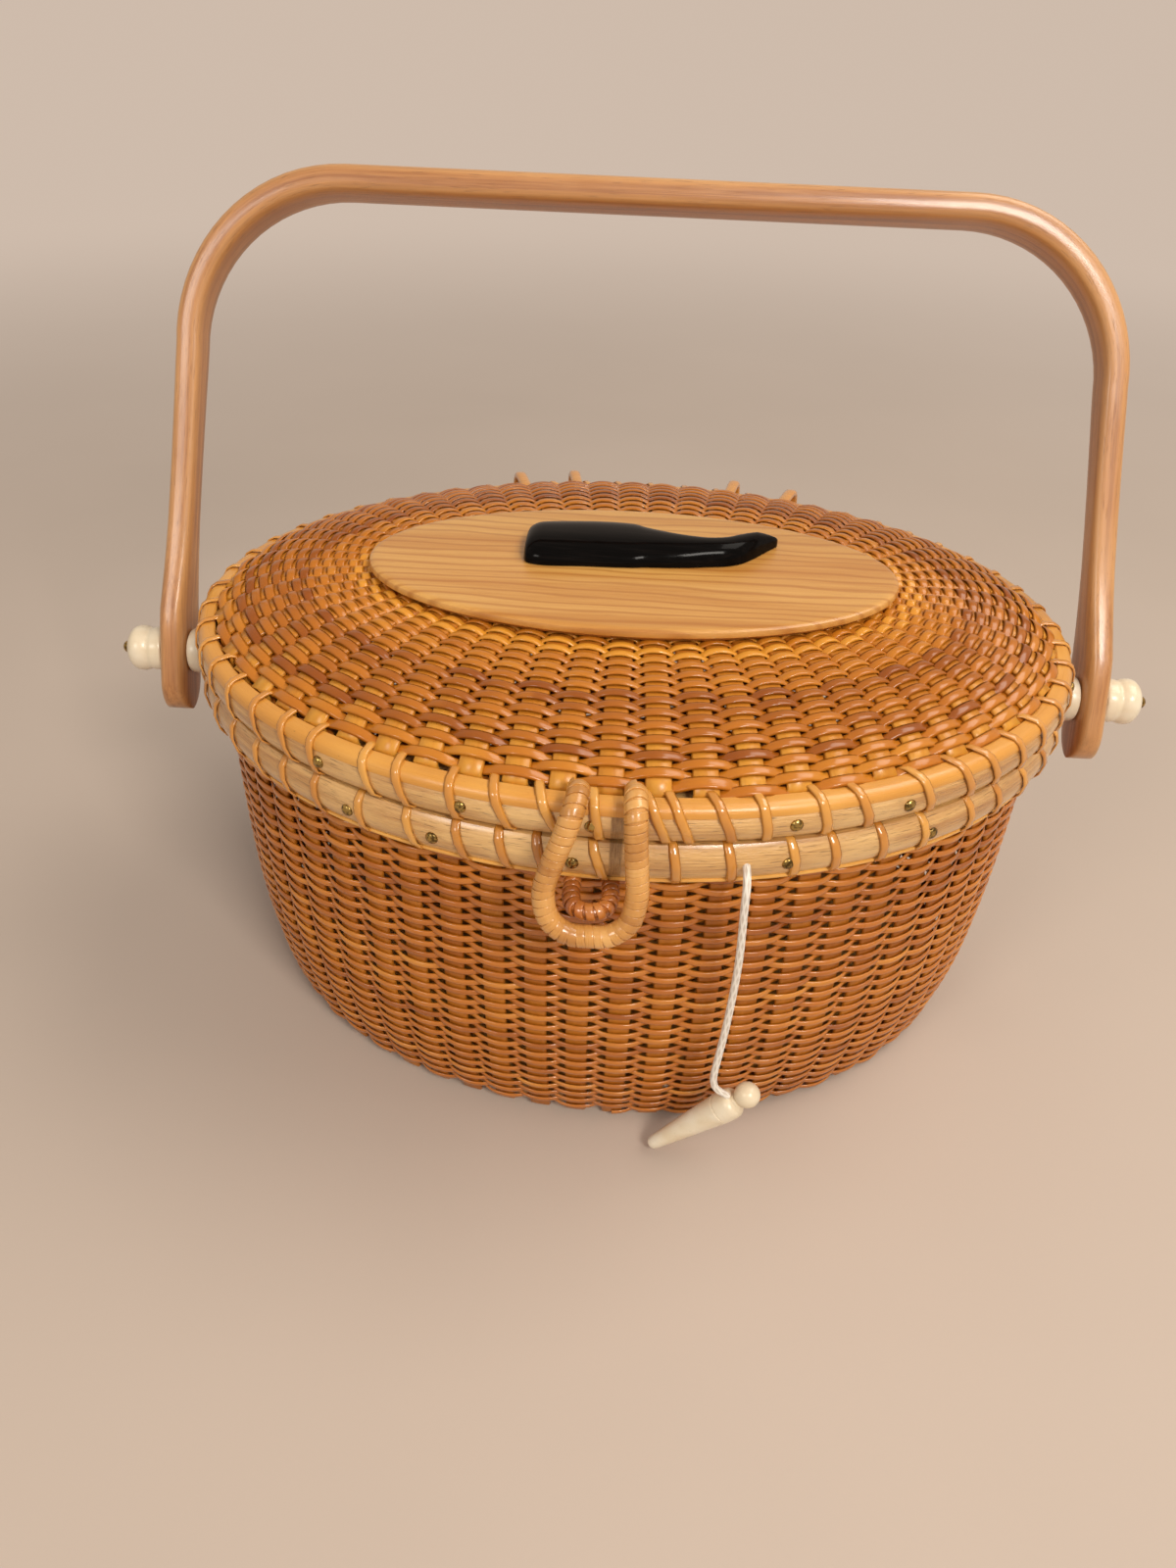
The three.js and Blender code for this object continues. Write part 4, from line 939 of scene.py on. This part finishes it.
def add_lid_dome():
    """The dome's weaver, its broader first row, the skirt's rows and the staves."""
    rng = np.random.default_rng(5)
    fine = lid_weaver(1.0, LID_ROWS, rng, 0.955, 0.0)
    broad = lid_weaver(1 / LID_STAVES, (LID_STAVES + 2) / LID_STAVES, rng, 0.995, 0.962)
    pieces = [
        strands("lid_weaver", [fine], LID_WEAVER, *LID_WEAVER_SIZE),
        strands("lid_first_row", [broad], LID_WEAVER, *LID_FIRST_ROW_SIZE, 6, 0.8),
    ]
    rows = skirt_weaver(108.4, 114.0, 3)
    pieces.append(strands("lid_skirt_weaver", [rows], WEAVER, *SKIRT_WEAVER_SIZE))
    shares = np.linspace(1.0, 0.0, 13)
    ribs = []
    for i in range(LID_STAVES):
        around = np.full(len(shares), i / LID_STAVES + LID_PHASE)
        turn = dome_turn(around, shares)
        path = dome_point(turn, shares, LID_WEAVE_DEPTH)
        facing = dome_outward(turn, shares)
        foot = oval_point(turn[0], WEAVE_INSET, 0.0)[:2]
        skirt = np.array([[*foot, z] for z in SKIRT_HEIGHTS])
        path = np.vstack([skirt, path])
        side = np.repeat(oval_outward(turn[:1]), 3, 0)
        facing = np.vstack([side, facing])
        shade = 0.75 - 0.45 * np.clip((1 - np.concatenate([[1, 1, 1], shares])) * 2, 0, 1)
        ribs.append((path, facing, shade + 0.15 * rng.random()))
    pieces.append(strands("lid_staves", ribs, STAVE, *LID_STAVE_SIZE, 8, 0.45, 1.0, 0.0))
    for piece in pieces:
        settle(piece, "lid", "woven_cane", "lid_wall")


add_lid_dome()

# Hoops, caps and boards.

# The inset at which a hoop's length is measured.
HOOP_INSET = 3.0


def ring_of(name, section, material, shade):
    """A hoop: section points are (inset, height), carried round the rim."""
    section = np.asarray(section, float)
    steps = 240
    turn = turn_at(np.arange(steps) / steps, HOOP_INSET)
    rings = np.stack([oval_point(turn, inset, height) for inset, height in section], 1)
    middle = section.mean(0)
    length = run_lengths(oval_point(turn, HOOP_INSET, 0.0))
    along = np.repeat(length[:, None], len(section), 1)
    local = np.zeros(rings.shape)
    local[..., 1] = (section[:, 1] - middle[1])[None]
    local[..., 2] = (middle[0] - section[:, 0])[None]
    half = np.ptp(section[:, 1]) / 2
    return loft(name, rings, {
        "along": along, "section": local, "shade": np.full(along.shape, shade),
        "half_width": np.full(along.shape, max(half, np.ptp(section[:, 0]) / 2)),
    }, material, closed=True, sharp_degrees=30.0)


def outer_hoop_section(foot, top):
    """The outer hoop's section: half round, fullest at the middle of its height."""
    middle, half = (foot + top) / 2, (top - foot) / 2
    across = np.array([-1.0, -0.97, -0.88, -0.74, -0.55, -0.3, 0.0, 0.3, 0.55, 0.74, 0.88, 0.97, 1.0])
    face = [(1.9 * abs(u) ** 2.3 + (0.5 if abs(u) == 1 else 0.0), middle + u * half) for u in across]
    return [(4.6, foot + 0.15), (4.4, foot), *face, (4.4, top), (4.6, top - 0.15)]


def flat_section(inset_low, inset_high, low, high, ease=0.4):
    cut = ease * 0.3
    return [
        (inset_high - ease, low), (inset_low + ease, low), (inset_low + cut, low + cut),
        (inset_low, low + ease), (inset_low, high - ease), (inset_low + cut, high - cut),
        (inset_low + ease, high), (inset_high - ease, high), (inset_high - cut, high - cut),
        (inset_high, high - ease), (inset_high, low + ease), (inset_high - cut, low + cut),
    ]


def inner_section(low, high):
    return flat_section(8.2, 11.6, low, high)


# The lid's cap slopes down over its hoop's upper corner.
CAP_SECTION = [
    (5.0, 114.5), (2.0, 114.3), (1.3, 113.7), (0.95, 113.2), (0.55, 113.3), (0.55, 114.1), (0.95, 115.0),
    (1.7, 115.75), (2.6, 116.0), (4.6, 116.05), (5.0, 115.7),
]
BASKET_HOOP_FOOT = 95.85
for name, section, finish, tone, slot, node in (
    ("basket_hoop_front", outer_hoop_section(BASKET_HOOP_FOOT, 105.5), HOOP, 0.5, "hoop_wood",
     "basket_hoop_outer"),
    ("lid_hoop_front", outer_hoop_section(106.45, 114.5), HOOP, 0.7, "hoop_wood", "lid_hoop_outer"),
    ("basket_hoop_back", inner_section(BASKET_HOOP_FOOT, 103.2), HOOP, 0.5, "hoop_wood",
     "basket_hoop_inner"),
    ("lid_hoop_back", inner_section(107.25, 113.35), HOOP, 0.5, "hoop_wood", "lid_hoop_inner"),
    ("basket_filler_cane", flat_section(1.5, 5.0, 95.0, 95.95, 0.3), RIM_CANE, 0.9, "rim_cane",
     "basket_hoop_outer"),
    ("basket_cap", flat_section(4.9, 11.6, 103.45, 104.75), RIM_CANE, 0.5, "rim_cane", "basket_rim_cap"),
    ("lid_cap", CAP_SECTION, RIM_CANE, 0.6, "rim_cane", "lid_rim_cap"),
):
    settle(ring_of(name, section, finish, tone), name.split("_")[0], slot, node)


def oval_board(name, half_length, half_width, rows, body, node, middle=0.0):
    """A solid oval board: rows are (inset, height) from foot to top, middle its place along X."""
    steps = 160
    turn = np.arange(steps) * 2 * math.pi / steps
    rings = []
    for inset, height in rows:
        rings.append(np.stack([
            middle + (half_length - inset) * np.cos(turn), (half_width - inset) * np.sin(turn),
            np.full(steps, height),
        ], -1))
    piece = loft(name, rings, {"along": np.zeros((len(rings), steps))}, BOARD, sharp_degrees=25.0)
    return settle(piece, body, "board_wood", node)


oval_board("lid_medallion_board", 71.2, 37.8, [
    (5.2, 119.9), (4.8, 120.1), (4.8, 124.8), (2.4, 124.8), (1.9, 125.0), (1.2, 125.9), (0.35, 126.2),
    (0.0, 126.55), (0.0, 127.35), (0.25, 127.9), (0.7, 128.2), (1.4, 128.37), (2.6, 128.4), (20.0, 128.4),
    (35.0, 128.4),
], "lid", "lid_medallion", -0.8)
oval_board("base_board_wood", 102.5, 78.0, [
    (20.0, 0.0), (2.0, 0.0), (0.8, 0.2), (0.2, 0.8), (0.0, 1.6), (0.0, 7.4), (0.2, 8.2), (0.8, 8.8),
    (2.0, 9.0), (20.0, 9.0), (50.0, 9.0),
], "basket", "base_board")

# Bindings over the rims.

BINDING_SIZE = (2.3, 0.8)
EVEN_TURNS = 41
# Turns of the binding on the front of each rim, in degrees, as the maker spaced them.
LID_FRONT_TURNS = [-133.6, -128.0, -120.5, -116.1, -109.3, -104.6, -99.5, -93.5, -87.8, -85.3,
                   -80.7, -75.7, -69.2, -64.8, -56.4, -50.5, -45.7, -39.5]
BASKET_FRONT_TURNS = [-133.8, -128.0, -121.0, -114.9, -108.8, -103.8, -99.6, -93.6, -84.8, -78.9,
                      -71.8, -67.0, -60.9, -55.0, -47.5, -42.0]


def binding_turns(front):
    """The front turns, and even ones round the rest of the rim."""
    length, turn = even_turns(1.0)
    last, first = np.interp(np.radians([front[-1], front[0] + 360.0]), turn, length)
    behind = np.interp(np.linspace(last, first, EVEN_TURNS + 2), length, turn)[1:-1]
    return np.concatenate([np.radians(front), behind])


def binding(name, corners, shares, front, body, nodes, slant):
    """One strand wound round the rim: corners are (inset, height), in winding order."""
    corners = np.asarray(corners, float)
    tops = binding_turns(front)
    tops = np.append(tops, tops[0] + 2 * math.pi)
    centre = corners.mean(0)
    path, facing, shades = [], [], []
    rng = np.random.default_rng(len(front))
    closed = np.vstack([corners, corners[:1]])
    marks = np.append(shares, 1.0)
    fine = np.unique(np.concatenate([np.linspace(low, high, 4) for low, high in zip(marks, marks[1:])]))
    inset_at = np.interp(fine, marks, closed[:, 0])
    height_at = np.interp(fine, marks, closed[:, 1])
    for i in range(len(tops) - 1):
        gap = tops[i + 1] - tops[i]
        shade = 0.35 + 0.5 * rng.random()
        lean = slant * rng.uniform(0.5, 1.5)
        for share, inset, height in list(zip(fine, inset_at, height_at))[:-1]:
            # The strand crosses the outside with a small slant and moves on inside.
            turn = tops[i] + np.interp(share, [0.0, 0.45, 1.0], [0.0, lean, gap])
            path.append(oval_point(np.array(turn), inset, height))
            away = oval_outward(np.array(turn)) * -(inset - centre[0])
            away[2] = height - centre[1]
            facing.append(unit(away))
            shades.append(shade)
    winding_path = (np.array(path), np.array(facing), np.array(shades))
    piece = strands(name, [winding_path], BINDING, *BINDING_SIZE, 6, 0.9)
    return settle(piece, body, "rim_cane", *nodes)


# Winding order: over the top, down the outside, under the foot and up the inside.
BASKET_WINDING = [(5.5, 105.5), (1.9, 105.4), (0.2, 103.6), (-0.45, 100.7), (0.25, 97.2), (1.7, 95.1),
                  (12.4, 94.9), (12.5, 99.0), (12.4, 105.3)]
BASKET_SHARES = [0.0, 0.10, 0.16, 0.28, 0.38, 0.45, 0.68, 0.78, 0.90]
LID_WINDING = [(5.6, 116.7), (2.4, 116.4), (0.9, 115.4), (0.0, 113.6), (-0.45, 110.5), (0.3, 107.6),
               (1.6, 106.5), (12.4, 106.75), (12.5, 110.0), (12.4, 114.1)]
LID_SHARES = [0.0, 0.08, 0.13, 0.19, 0.31, 0.39, 0.45, 0.68, 0.78, 0.90]
binding("basket_binding", BASKET_WINDING, BASKET_SHARES, BASKET_FRONT_TURNS, "basket",
        ("basket_lashing_right", "basket_lashing_left"), 0.022)
binding("lid_binding", LID_WINDING, LID_SHARES, LID_FRONT_TURNS, "lid",
        ("lid_lashing_right", "lid_lashing_left"), 0.038)

# Nails.

NAIL_PROFILE = [(-0.3, 1.4), (0.05, 1.55), (0.3, 1.48), (0.6, 1.2), (0.8, 0.8), (0.9, 0.4), (0.93, 0.0)]


def add_nails():
    """Small domed nails where the frame has them."""
    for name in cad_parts:
        if "_nail_" not in name:
            continue
        low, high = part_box(name)
        centre = np.array((low + high) / 2) / MM
        turn = math.atan2(centre[1] / RIM_HALF_WIDTH, centre[0] / RIM_HALF_LENGTH)
        out = oval_outward(np.array(turn))
        start = oval_point(np.array(turn), 0.1, centre[2])
        piece = turned(name + "_head", NAIL_PROFILE, start, out, BRASS, 18, 60.0)
        settle(piece, name.split("_")[0], "brass", name)


add_nails()

# Handle and pivots.

PIVOT_HEIGHT = 94.3
HANDLE_LEAN = math.radians(24)
SPAN_AT_PIVOT = 130.0
SPAN_AT_TOP = 124.7
HANDLE_RISE = 126.2
HANDLE_CORNER = 43.0
PADDLE_FOOT = -17
PADDLE_WIDTH = 17.5
# Above this height over the pivots each leg narrows and draws in towards the bow.
LEG_START = 12.0
LEG_DRAW_IN = 5.3
LEG_THICKNESS = 7.0


def leaned(points, angle):
    """Points turned about X, so that what stands up leans back."""
    cosine, sine = math.cos(angle), math.sin(angle)
    return points @ np.array([[1, 0, 0], [0, cosine, sine], [0, -sine, cosine]]).T


def add_handle():
    """A bent strip: paddle ends, slim legs and a broader bow."""
    corner_start = HANDLE_RISE - HANDLE_CORNER
    sides = 28
    rows = []
    for share in (0.0, 0.02, 0.06, 0.12, 0.2, 0.3, 0.42, 0.56, 0.7, 0.85, 1.0):
        width = max(math.sqrt(1 - (1 - share) ** 2), 0.1) * PADDLE_WIDTH
        rows.append((SPAN_AT_PIVOT, PADDLE_FOOT + PADDLE_WIDTH / 2 * share, width, LEG_THICKNESS))
    for up in (-5.0, -1.0, 3.0, 7.0):
        rows.append((SPAN_AT_PIVOT, up, PADDLE_WIDTH, LEG_THICKNESS))
    widths = [(LEG_START, 16.3), (16.0, 14.8), (21.9, 12.9), (28.0, 11.2), (36.3, 9.6), (46.0, 9.1),
              (54.8, 9.0), (64.0, 9.3), (72.7, 9.7), (78.0, 10.2)]
    for up, width in widths:
        share = (up - LEG_START) / (corner_start - LEG_START)
        rows.append((SPAN_AT_PIVOT - LEG_DRAW_IN * share, up, width, LEG_THICKNESS))
    for i in range(19):
        share = i / 18
        turn = share * math.pi / 2
        rows.append((
            SPAN_AT_TOP - HANDLE_CORNER * (1 - math.cos(turn)),
            corner_start + HANDLE_CORNER * math.sin(turn),
            9.0 + 5.0 * min(1.0, 0.25 + 0.95 * share), LEG_THICKNESS + 0.2 * share,
        ))
    bow = np.linspace(SPAN_AT_TOP - HANDLE_CORNER, 0, 22)[1:]
    right = rows + [(x, HANDLE_RISE, 14.0, 7.2) for x in bow]
    left = [(-x, up, w, t) for x, up, w, t in right[:-1]][::-1]
    rows = np.array(right + left)
    path = np.stack([rows[:, 0], np.zeros(len(rows)), rows[:, 1]], -1)
    ahead = np.gradient(path, axis=0)
    ahead[:14] = (0, 0, 1)
    ahead[-14:] = (0, 0, -1)
    outward = np.cross((0.0, 1.0, 0.0), unit(ahead)) * -1
    rings, section, shade = [], [], []
    for place, out, (_, _, width, thickness) in zip(path, outward, rows):
        through, across = rounded_section(width / 2, thickness / 2, sides)
        rings.append(place + out * through[:, None] + np.array([0, 1.0, 0]) * across[:, None])
        section.append(np.stack([np.zeros(sides), across, through], -1))
        # The shade value is high at the section's corners, where the finish paints a highlight.
        corner = np.abs(through) / (thickness / 2) * np.abs(across) / (width / 2)
        shade.append(np.clip(corner * 1.6 - 0.5, 0, 1))
    rings = leaned(np.array(rings), HANDLE_LEAN) + np.array([0, 0, PIVOT_HEIGHT])
    along = np.repeat(run_lengths(path)[:, None], sides, 1)
    values = {"along": along, "section": section, "shade": shade}
    piece = loft("handle_bow", rings, values, HANDLE, sharp_degrees=50.0)
    return settle(piece, "handle", "handle_wood", "handle")


def add_pivots():
    """Knobs, washers, keepers and pins: profile rows are (place along the pin, radius)."""
    knob = eased_profile([
        (0.0, 5.6), (0.35, 5.95), (1.9, 6.15), (3.1, 6.1), (3.8, 5.9), (4.3, 5.9), (4.9, 6.15),
        (5.8, 6.42), (7.0, 6.5), (8.3, 6.2), (9.4, 5.3), (10.25, 3.9), (10.8, 2.4),
    ], 3) + [(10.8, 0.0)]
    washer = [
        (0.0, 0.0), (0.0, 5.7), (0.25, 6.15), (0.8, 6.4), (2.4, 6.4), (2.8, 6.15), (3.2, 6.1),
        (3.7, 6.4), (5.9, 6.4), (6.45, 6.15), (6.7, 5.7), (6.7, 0.0),
    ]
    keeper = [
        (0.0, 0.0), (0.0, 4.2), (0.3, 4.75), (0.9, 5.0), (2.3, 5.0), (2.9, 4.75), (3.2, 4.3), (3.2, 0.0),
    ]
    pin = [
        (0.0, 0.0), (0.0, 2.2), (0.3, 2.6), (0.95, 2.6), (1.2, 2.3), (1.2, 1.2), (44.8, 1.2),
        (44.9, 1.5), (45.2, 1.7), (45.7, 1.6), (46.2, 1.1), (46.5, 0.0),
    ]
    for side, sign in (("right", 1.0), ("left", -1.0)):
        axis = (sign, 0.0, 0.0)
        for kind, rows, start, finish, slot in (
            ("knob", knob, 133.8, BONE, "bone"), ("washer", washer, 119.5, BONE, "bone"),
            ("keeper", keeper, 101.55, BONE, "bone"), ("pin", pin, 100.05, BRASS, "brass"),
        ):
            place = (sign * start, 0.0, PIVOT_HEIGHT)
            piece = turned(f"pivot_{kind}_{side}_turned", rows, place, axis, finish, 40)
            settle(piece, "basket", slot, f"pivot_{kind}_{side}")


add_handle()
add_pivots()

# Wound loop, staple and hinge rings.

WINDING_PITCH = 1.9


def winding(path, radius, rng):
    """A helix round a path: points, outward facings and shades."""
    steps = 18
    length = run_lengths(path)
    total = length[-1]
    count = int(total / WINDING_PITCH * steps)
    at = np.linspace(0, total, count)
    centre = np.stack([np.interp(at, length, path[:, k]) for k in range(3)], -1)
    _, one, other = line_frames(centre)
    turn = np.arange(count) * 2 * math.pi / steps
    out = np.cos(turn)[:, None] * one + np.sin(turn)[:, None] * other
    shade = 0.5 + 0.25 * np.sin(at * 0.37) + rng.normal(0, 0.05, count)
    return centre + out * radius, out, np.clip(shade, 0.1, 0.9)


LOOP_AXIS = (-6.3, -90.7, 118.75)
LOOP_TILT = math.radians(13)


def loop_line():
    """Centre line of the latch loop, from its right top over the foot to its left top."""
    # Rows are shares of the way sideways, down and ahead, then sideways and down.
    upper = [
        (0, 0, 0), (0.02, 0.015, 0.5), (0.12, 0.08, 0.86), (0.36, 0.24, 1), (0.74, 0.46, 1), (1, 0.68, 1),
    ]
    foot = [(0.86, 0.88), (0.46, 0.985)]
    top_half, half, length, shift, out = 6.0, 9.9, 31.3, 2.4, 7.2
    legs = []
    for sign in (1, -1):
        top = shift + sign * top_half
        leg = []
        for side, down, ahead in upper:
            leg.append((top + (sign * half - top) * side, -out * ahead, -length * down))
        leg += [(sign * half * side, -out, -length * down) for side, down in foot]
        legs.append(leg)
    points = np.array(legs[0] + [(0.0, -out, -length)] + legs[1][::-1])
    return leaned(points, LOOP_TILT) + np.array(LOOP_AXIS)


def add_wound_piece(name, line, radius, strip, power, material, body, slot, node):
    """A core wrapped closely with one strip of cane, the flatter the smaller the power."""
    rng = np.random.default_rng(3)
    path = smooth_line(line, 10)
    inside = tube(name + "_core", path, radius - strip * 0.7, material, 16)
    turns = winding(path, radius - strip / 2, rng)
    coil = strands(name + "_coil", [turns], material, WINDING_PITCH * 0.985, strip, 12, power, 1.0,
                   math.pi / 12)
    piece = join(name, [coil, inside])
    return settle(piece, body, slot, node)


def staple_line():
    """Centre line of the staple: out of the wall, round in front and back into it."""
    return np.array([
        (-10.6, -83.6, 93.0), (-10.6, -92.0, 93.0), (-10.5, -96.4, 93.0), (-9.3, -99.4, 93.0),
        (-6.3, -100.5, 93.0), (-3.3, -99.4, 93.0), (-2.1, -96.4, 93.0), (-2.0, -92.0, 93.0),
        (-2.0, -83.6, 93.0),
    ])


add_wound_piece("latch_loop_wound", loop_line(), 2.55, 0.42, 0.32, LOOP_CANE, "latch", "rim_cane",
                "latch_loop")
add_wound_piece("latch_staple_wound", staple_line(), 2.1, 0.75, 0.6, STAPLE_CANE, "basket", "hoop_wood",
                "latch_staple")

HINGE_PLACES = [-38.4, -21.1, 30.8, 48.6]
HINGE_INSET = 5.88
HINGE_HALF_DEPTH = 9.88
HINGE_HALF_HEIGHT = 12.4
HINGE_CANE_SIZE = (3.6, 2.2)
SEAM_HEIGHT = 106.0


def add_hinge_rings():
    """Cane rings that tie the two rims together at the back."""
    for i, place in enumerate(HINGE_PLACES):
        turn = math.acos(place / (RIM_HALF_LENGTH - HINGE_INSET))
        centre = oval_point(np.array(turn), HINGE_INSET, SEAM_HEIGHT)
        out = oval_outward(np.array(turn), HINGE_INSET)
        around = np.linspace(0, 2 * math.pi, 49)[:-1]
        depth = squared(np.cos(around), 0.4) * HINGE_HALF_DEPTH
        height = squared(np.sin(around), 0.4) * HINGE_HALF_HEIGHT
        even = run_lengths(np.stack([depth, height, height * 0], -1))
        at = np.linspace(0, even[-1], 60)
        depth, height = np.interp(at, even, depth), np.interp(at, even, height)
        path = centre + out[None] * depth[:, None] + np.array([0, 0, 1.0]) * height[:, None]
        ahead = unit(np.roll(path, -1, 0) - np.roll(path, 1, 0))
        facing = np.cross(ahead, np.cross(out, (0, 0, 1.0)))
        away = path - centre
        facing *= np.sign((facing * away).sum(1, keepdims=True))
        piece = strands(f"hinge_ring_cane_{i + 1}", [(path, facing, 0.6)], BINDING,
                        *HINGE_CANE_SIZE, 12, 0.8, 1.0, 0.0, closed=True)
        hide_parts(f"hinge_ring_{i + 1}")
        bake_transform(piece)


add_hinge_rings()

# Whale carving.

WHALE_HEAD = -30.3
WHALE_LENGTH = 69.4
WHALE_BELLY = -4.2
WHALE_WIDTH = 24.1
WHALE_FOOT = 128.7
WHALE_CROWN = 5.6


def add_whale():
    """A whale lying on its side, carved with a rounded back and a flat foot."""
    # Rows are shares: of the length, and of the width at the belly's and the back's edge.
    rows = np.array([
        (0, 0.13, 0.71), (0.02, 0.04, 0.85), (0.08, 0, 0.92), (0.24, 0.03, 0.99), (0.34, 0.04, 1.0),
        (0.42, 0.055, 0.97), (0.47, 0.08, 0.87), (0.56, 0.1, 0.74), (0.64, 0.13, 0.65), (0.71, 0.17, 0.6),
        (0.78, 0.21, 0.63), (0.84, 0.29, 0.74), (0.89, 0.43, 0.82), (0.94, 0.61, 0.86), (1, 0.83, 0.88),
    ])
    line = smooth_line(rows, 7)
    sides = 26
    turn = np.linspace(0, math.pi, sides)
    rings = []
    for along, low, high in line:
        half = max((high - low) / 2, 0.01) * WHALE_WIDTH
        middle = WHALE_BELLY + WHALE_WIDTH * (low + high) / 2
        end = min(along / 0.07, 1.0) if along < 0.5 else min((1 - along) / 0.2, 1.0)
        rounded = 0.5 + 0.5 * math.sqrt(max(0.0, 1 - (1 - end) ** 2))
        crown = WHALE_CROWN * rounded * min(1.0, 0.6 + half / 10.0)
        y = middle + squared(-np.cos(turn), 0.8) * half
        z = WHALE_FOOT + np.sin(turn) ** 0.85 * crown
        x = WHALE_HEAD + WHALE_LENGTH * along
        rings.append(np.stack([np.full(sides, x), y, z], -1))
    rings = np.array(rings)
    piece = loft("whale_carved", rings, {"along": np.zeros(rings.shape[:2])}, EBONY, sharp_degrees=45.0)
    return settle(piece, "lid", "black_wood", "whale_carving")


add_whale()

# Floor and lights.


def add_floor():
    mesh = bpy.data.meshes.new("floor")
    reach = 40.0
    mesh.from_pydata([(-reach, -reach, 0), (reach, -reach, 0), (reach, reach, 0), (-reach, reach, 0)], [],
                     [(0, 1, 2, 3)])
    mesh.materials.append(FLOOR)
    floor = place_object(mesh, "floor")


LAMP_TARGET = (0.0, 0.0, 0.08)
SOFT_WHITE = (1.0, 0.94, 0.86)


def add_lamp(name, place, size, power, colour):
    data = bpy.data.lights.new(name, "AREA")
    data.shape = "RECTANGLE"
    data.size, data.size_y = size
    data.energy = power
    data.color = colour
    lamp = bpy.data.objects.new(name, data)
    lamp.location = place
    aim = Vector(LAMP_TARGET) - Vector(place)
    lamp.rotation_euler = aim.to_track_quat("-Z", "Y").to_euler()
    scene.collection.objects.link(lamp)


add_floor()
add_lamp("key window", (0.6, 0.1, 1.1), (0.8, 0.6), 7.0, (1.0, 0.93, 0.83))
add_lamp("front right lamp", (0.42, -0.82, 0.86), (0.32, 0.26), 8.0, SOFT_WHITE)
add_lamp("front left lamp", (-0.6, -0.9, 0.75), (0.32, 0.26), 3.0, SOFT_WHITE)


def add_world():
    """Soft light from everywhere, behind which the distance shows as pale as the floor."""
    world = bpy.data.worlds.new("studio")
    scene.world = world
    wire = empty_tree(world)
    light = wire.node("ShaderNodeBackground", None, {"Color": (0.94, 0.91, 0.87, 1.0), "Strength": 0.42})
    shown = wire.node("ShaderNodeBackground", None, {"Color": (*DISTANCE_COLOUR, 1.0)})
    both = wire.node("ShaderNodeMixShader", None, {0: seen_directly(wire), 1: light, 2: shown})
    both.ends_in("ShaderNodeOutputWorld", "Surface")


add_world()
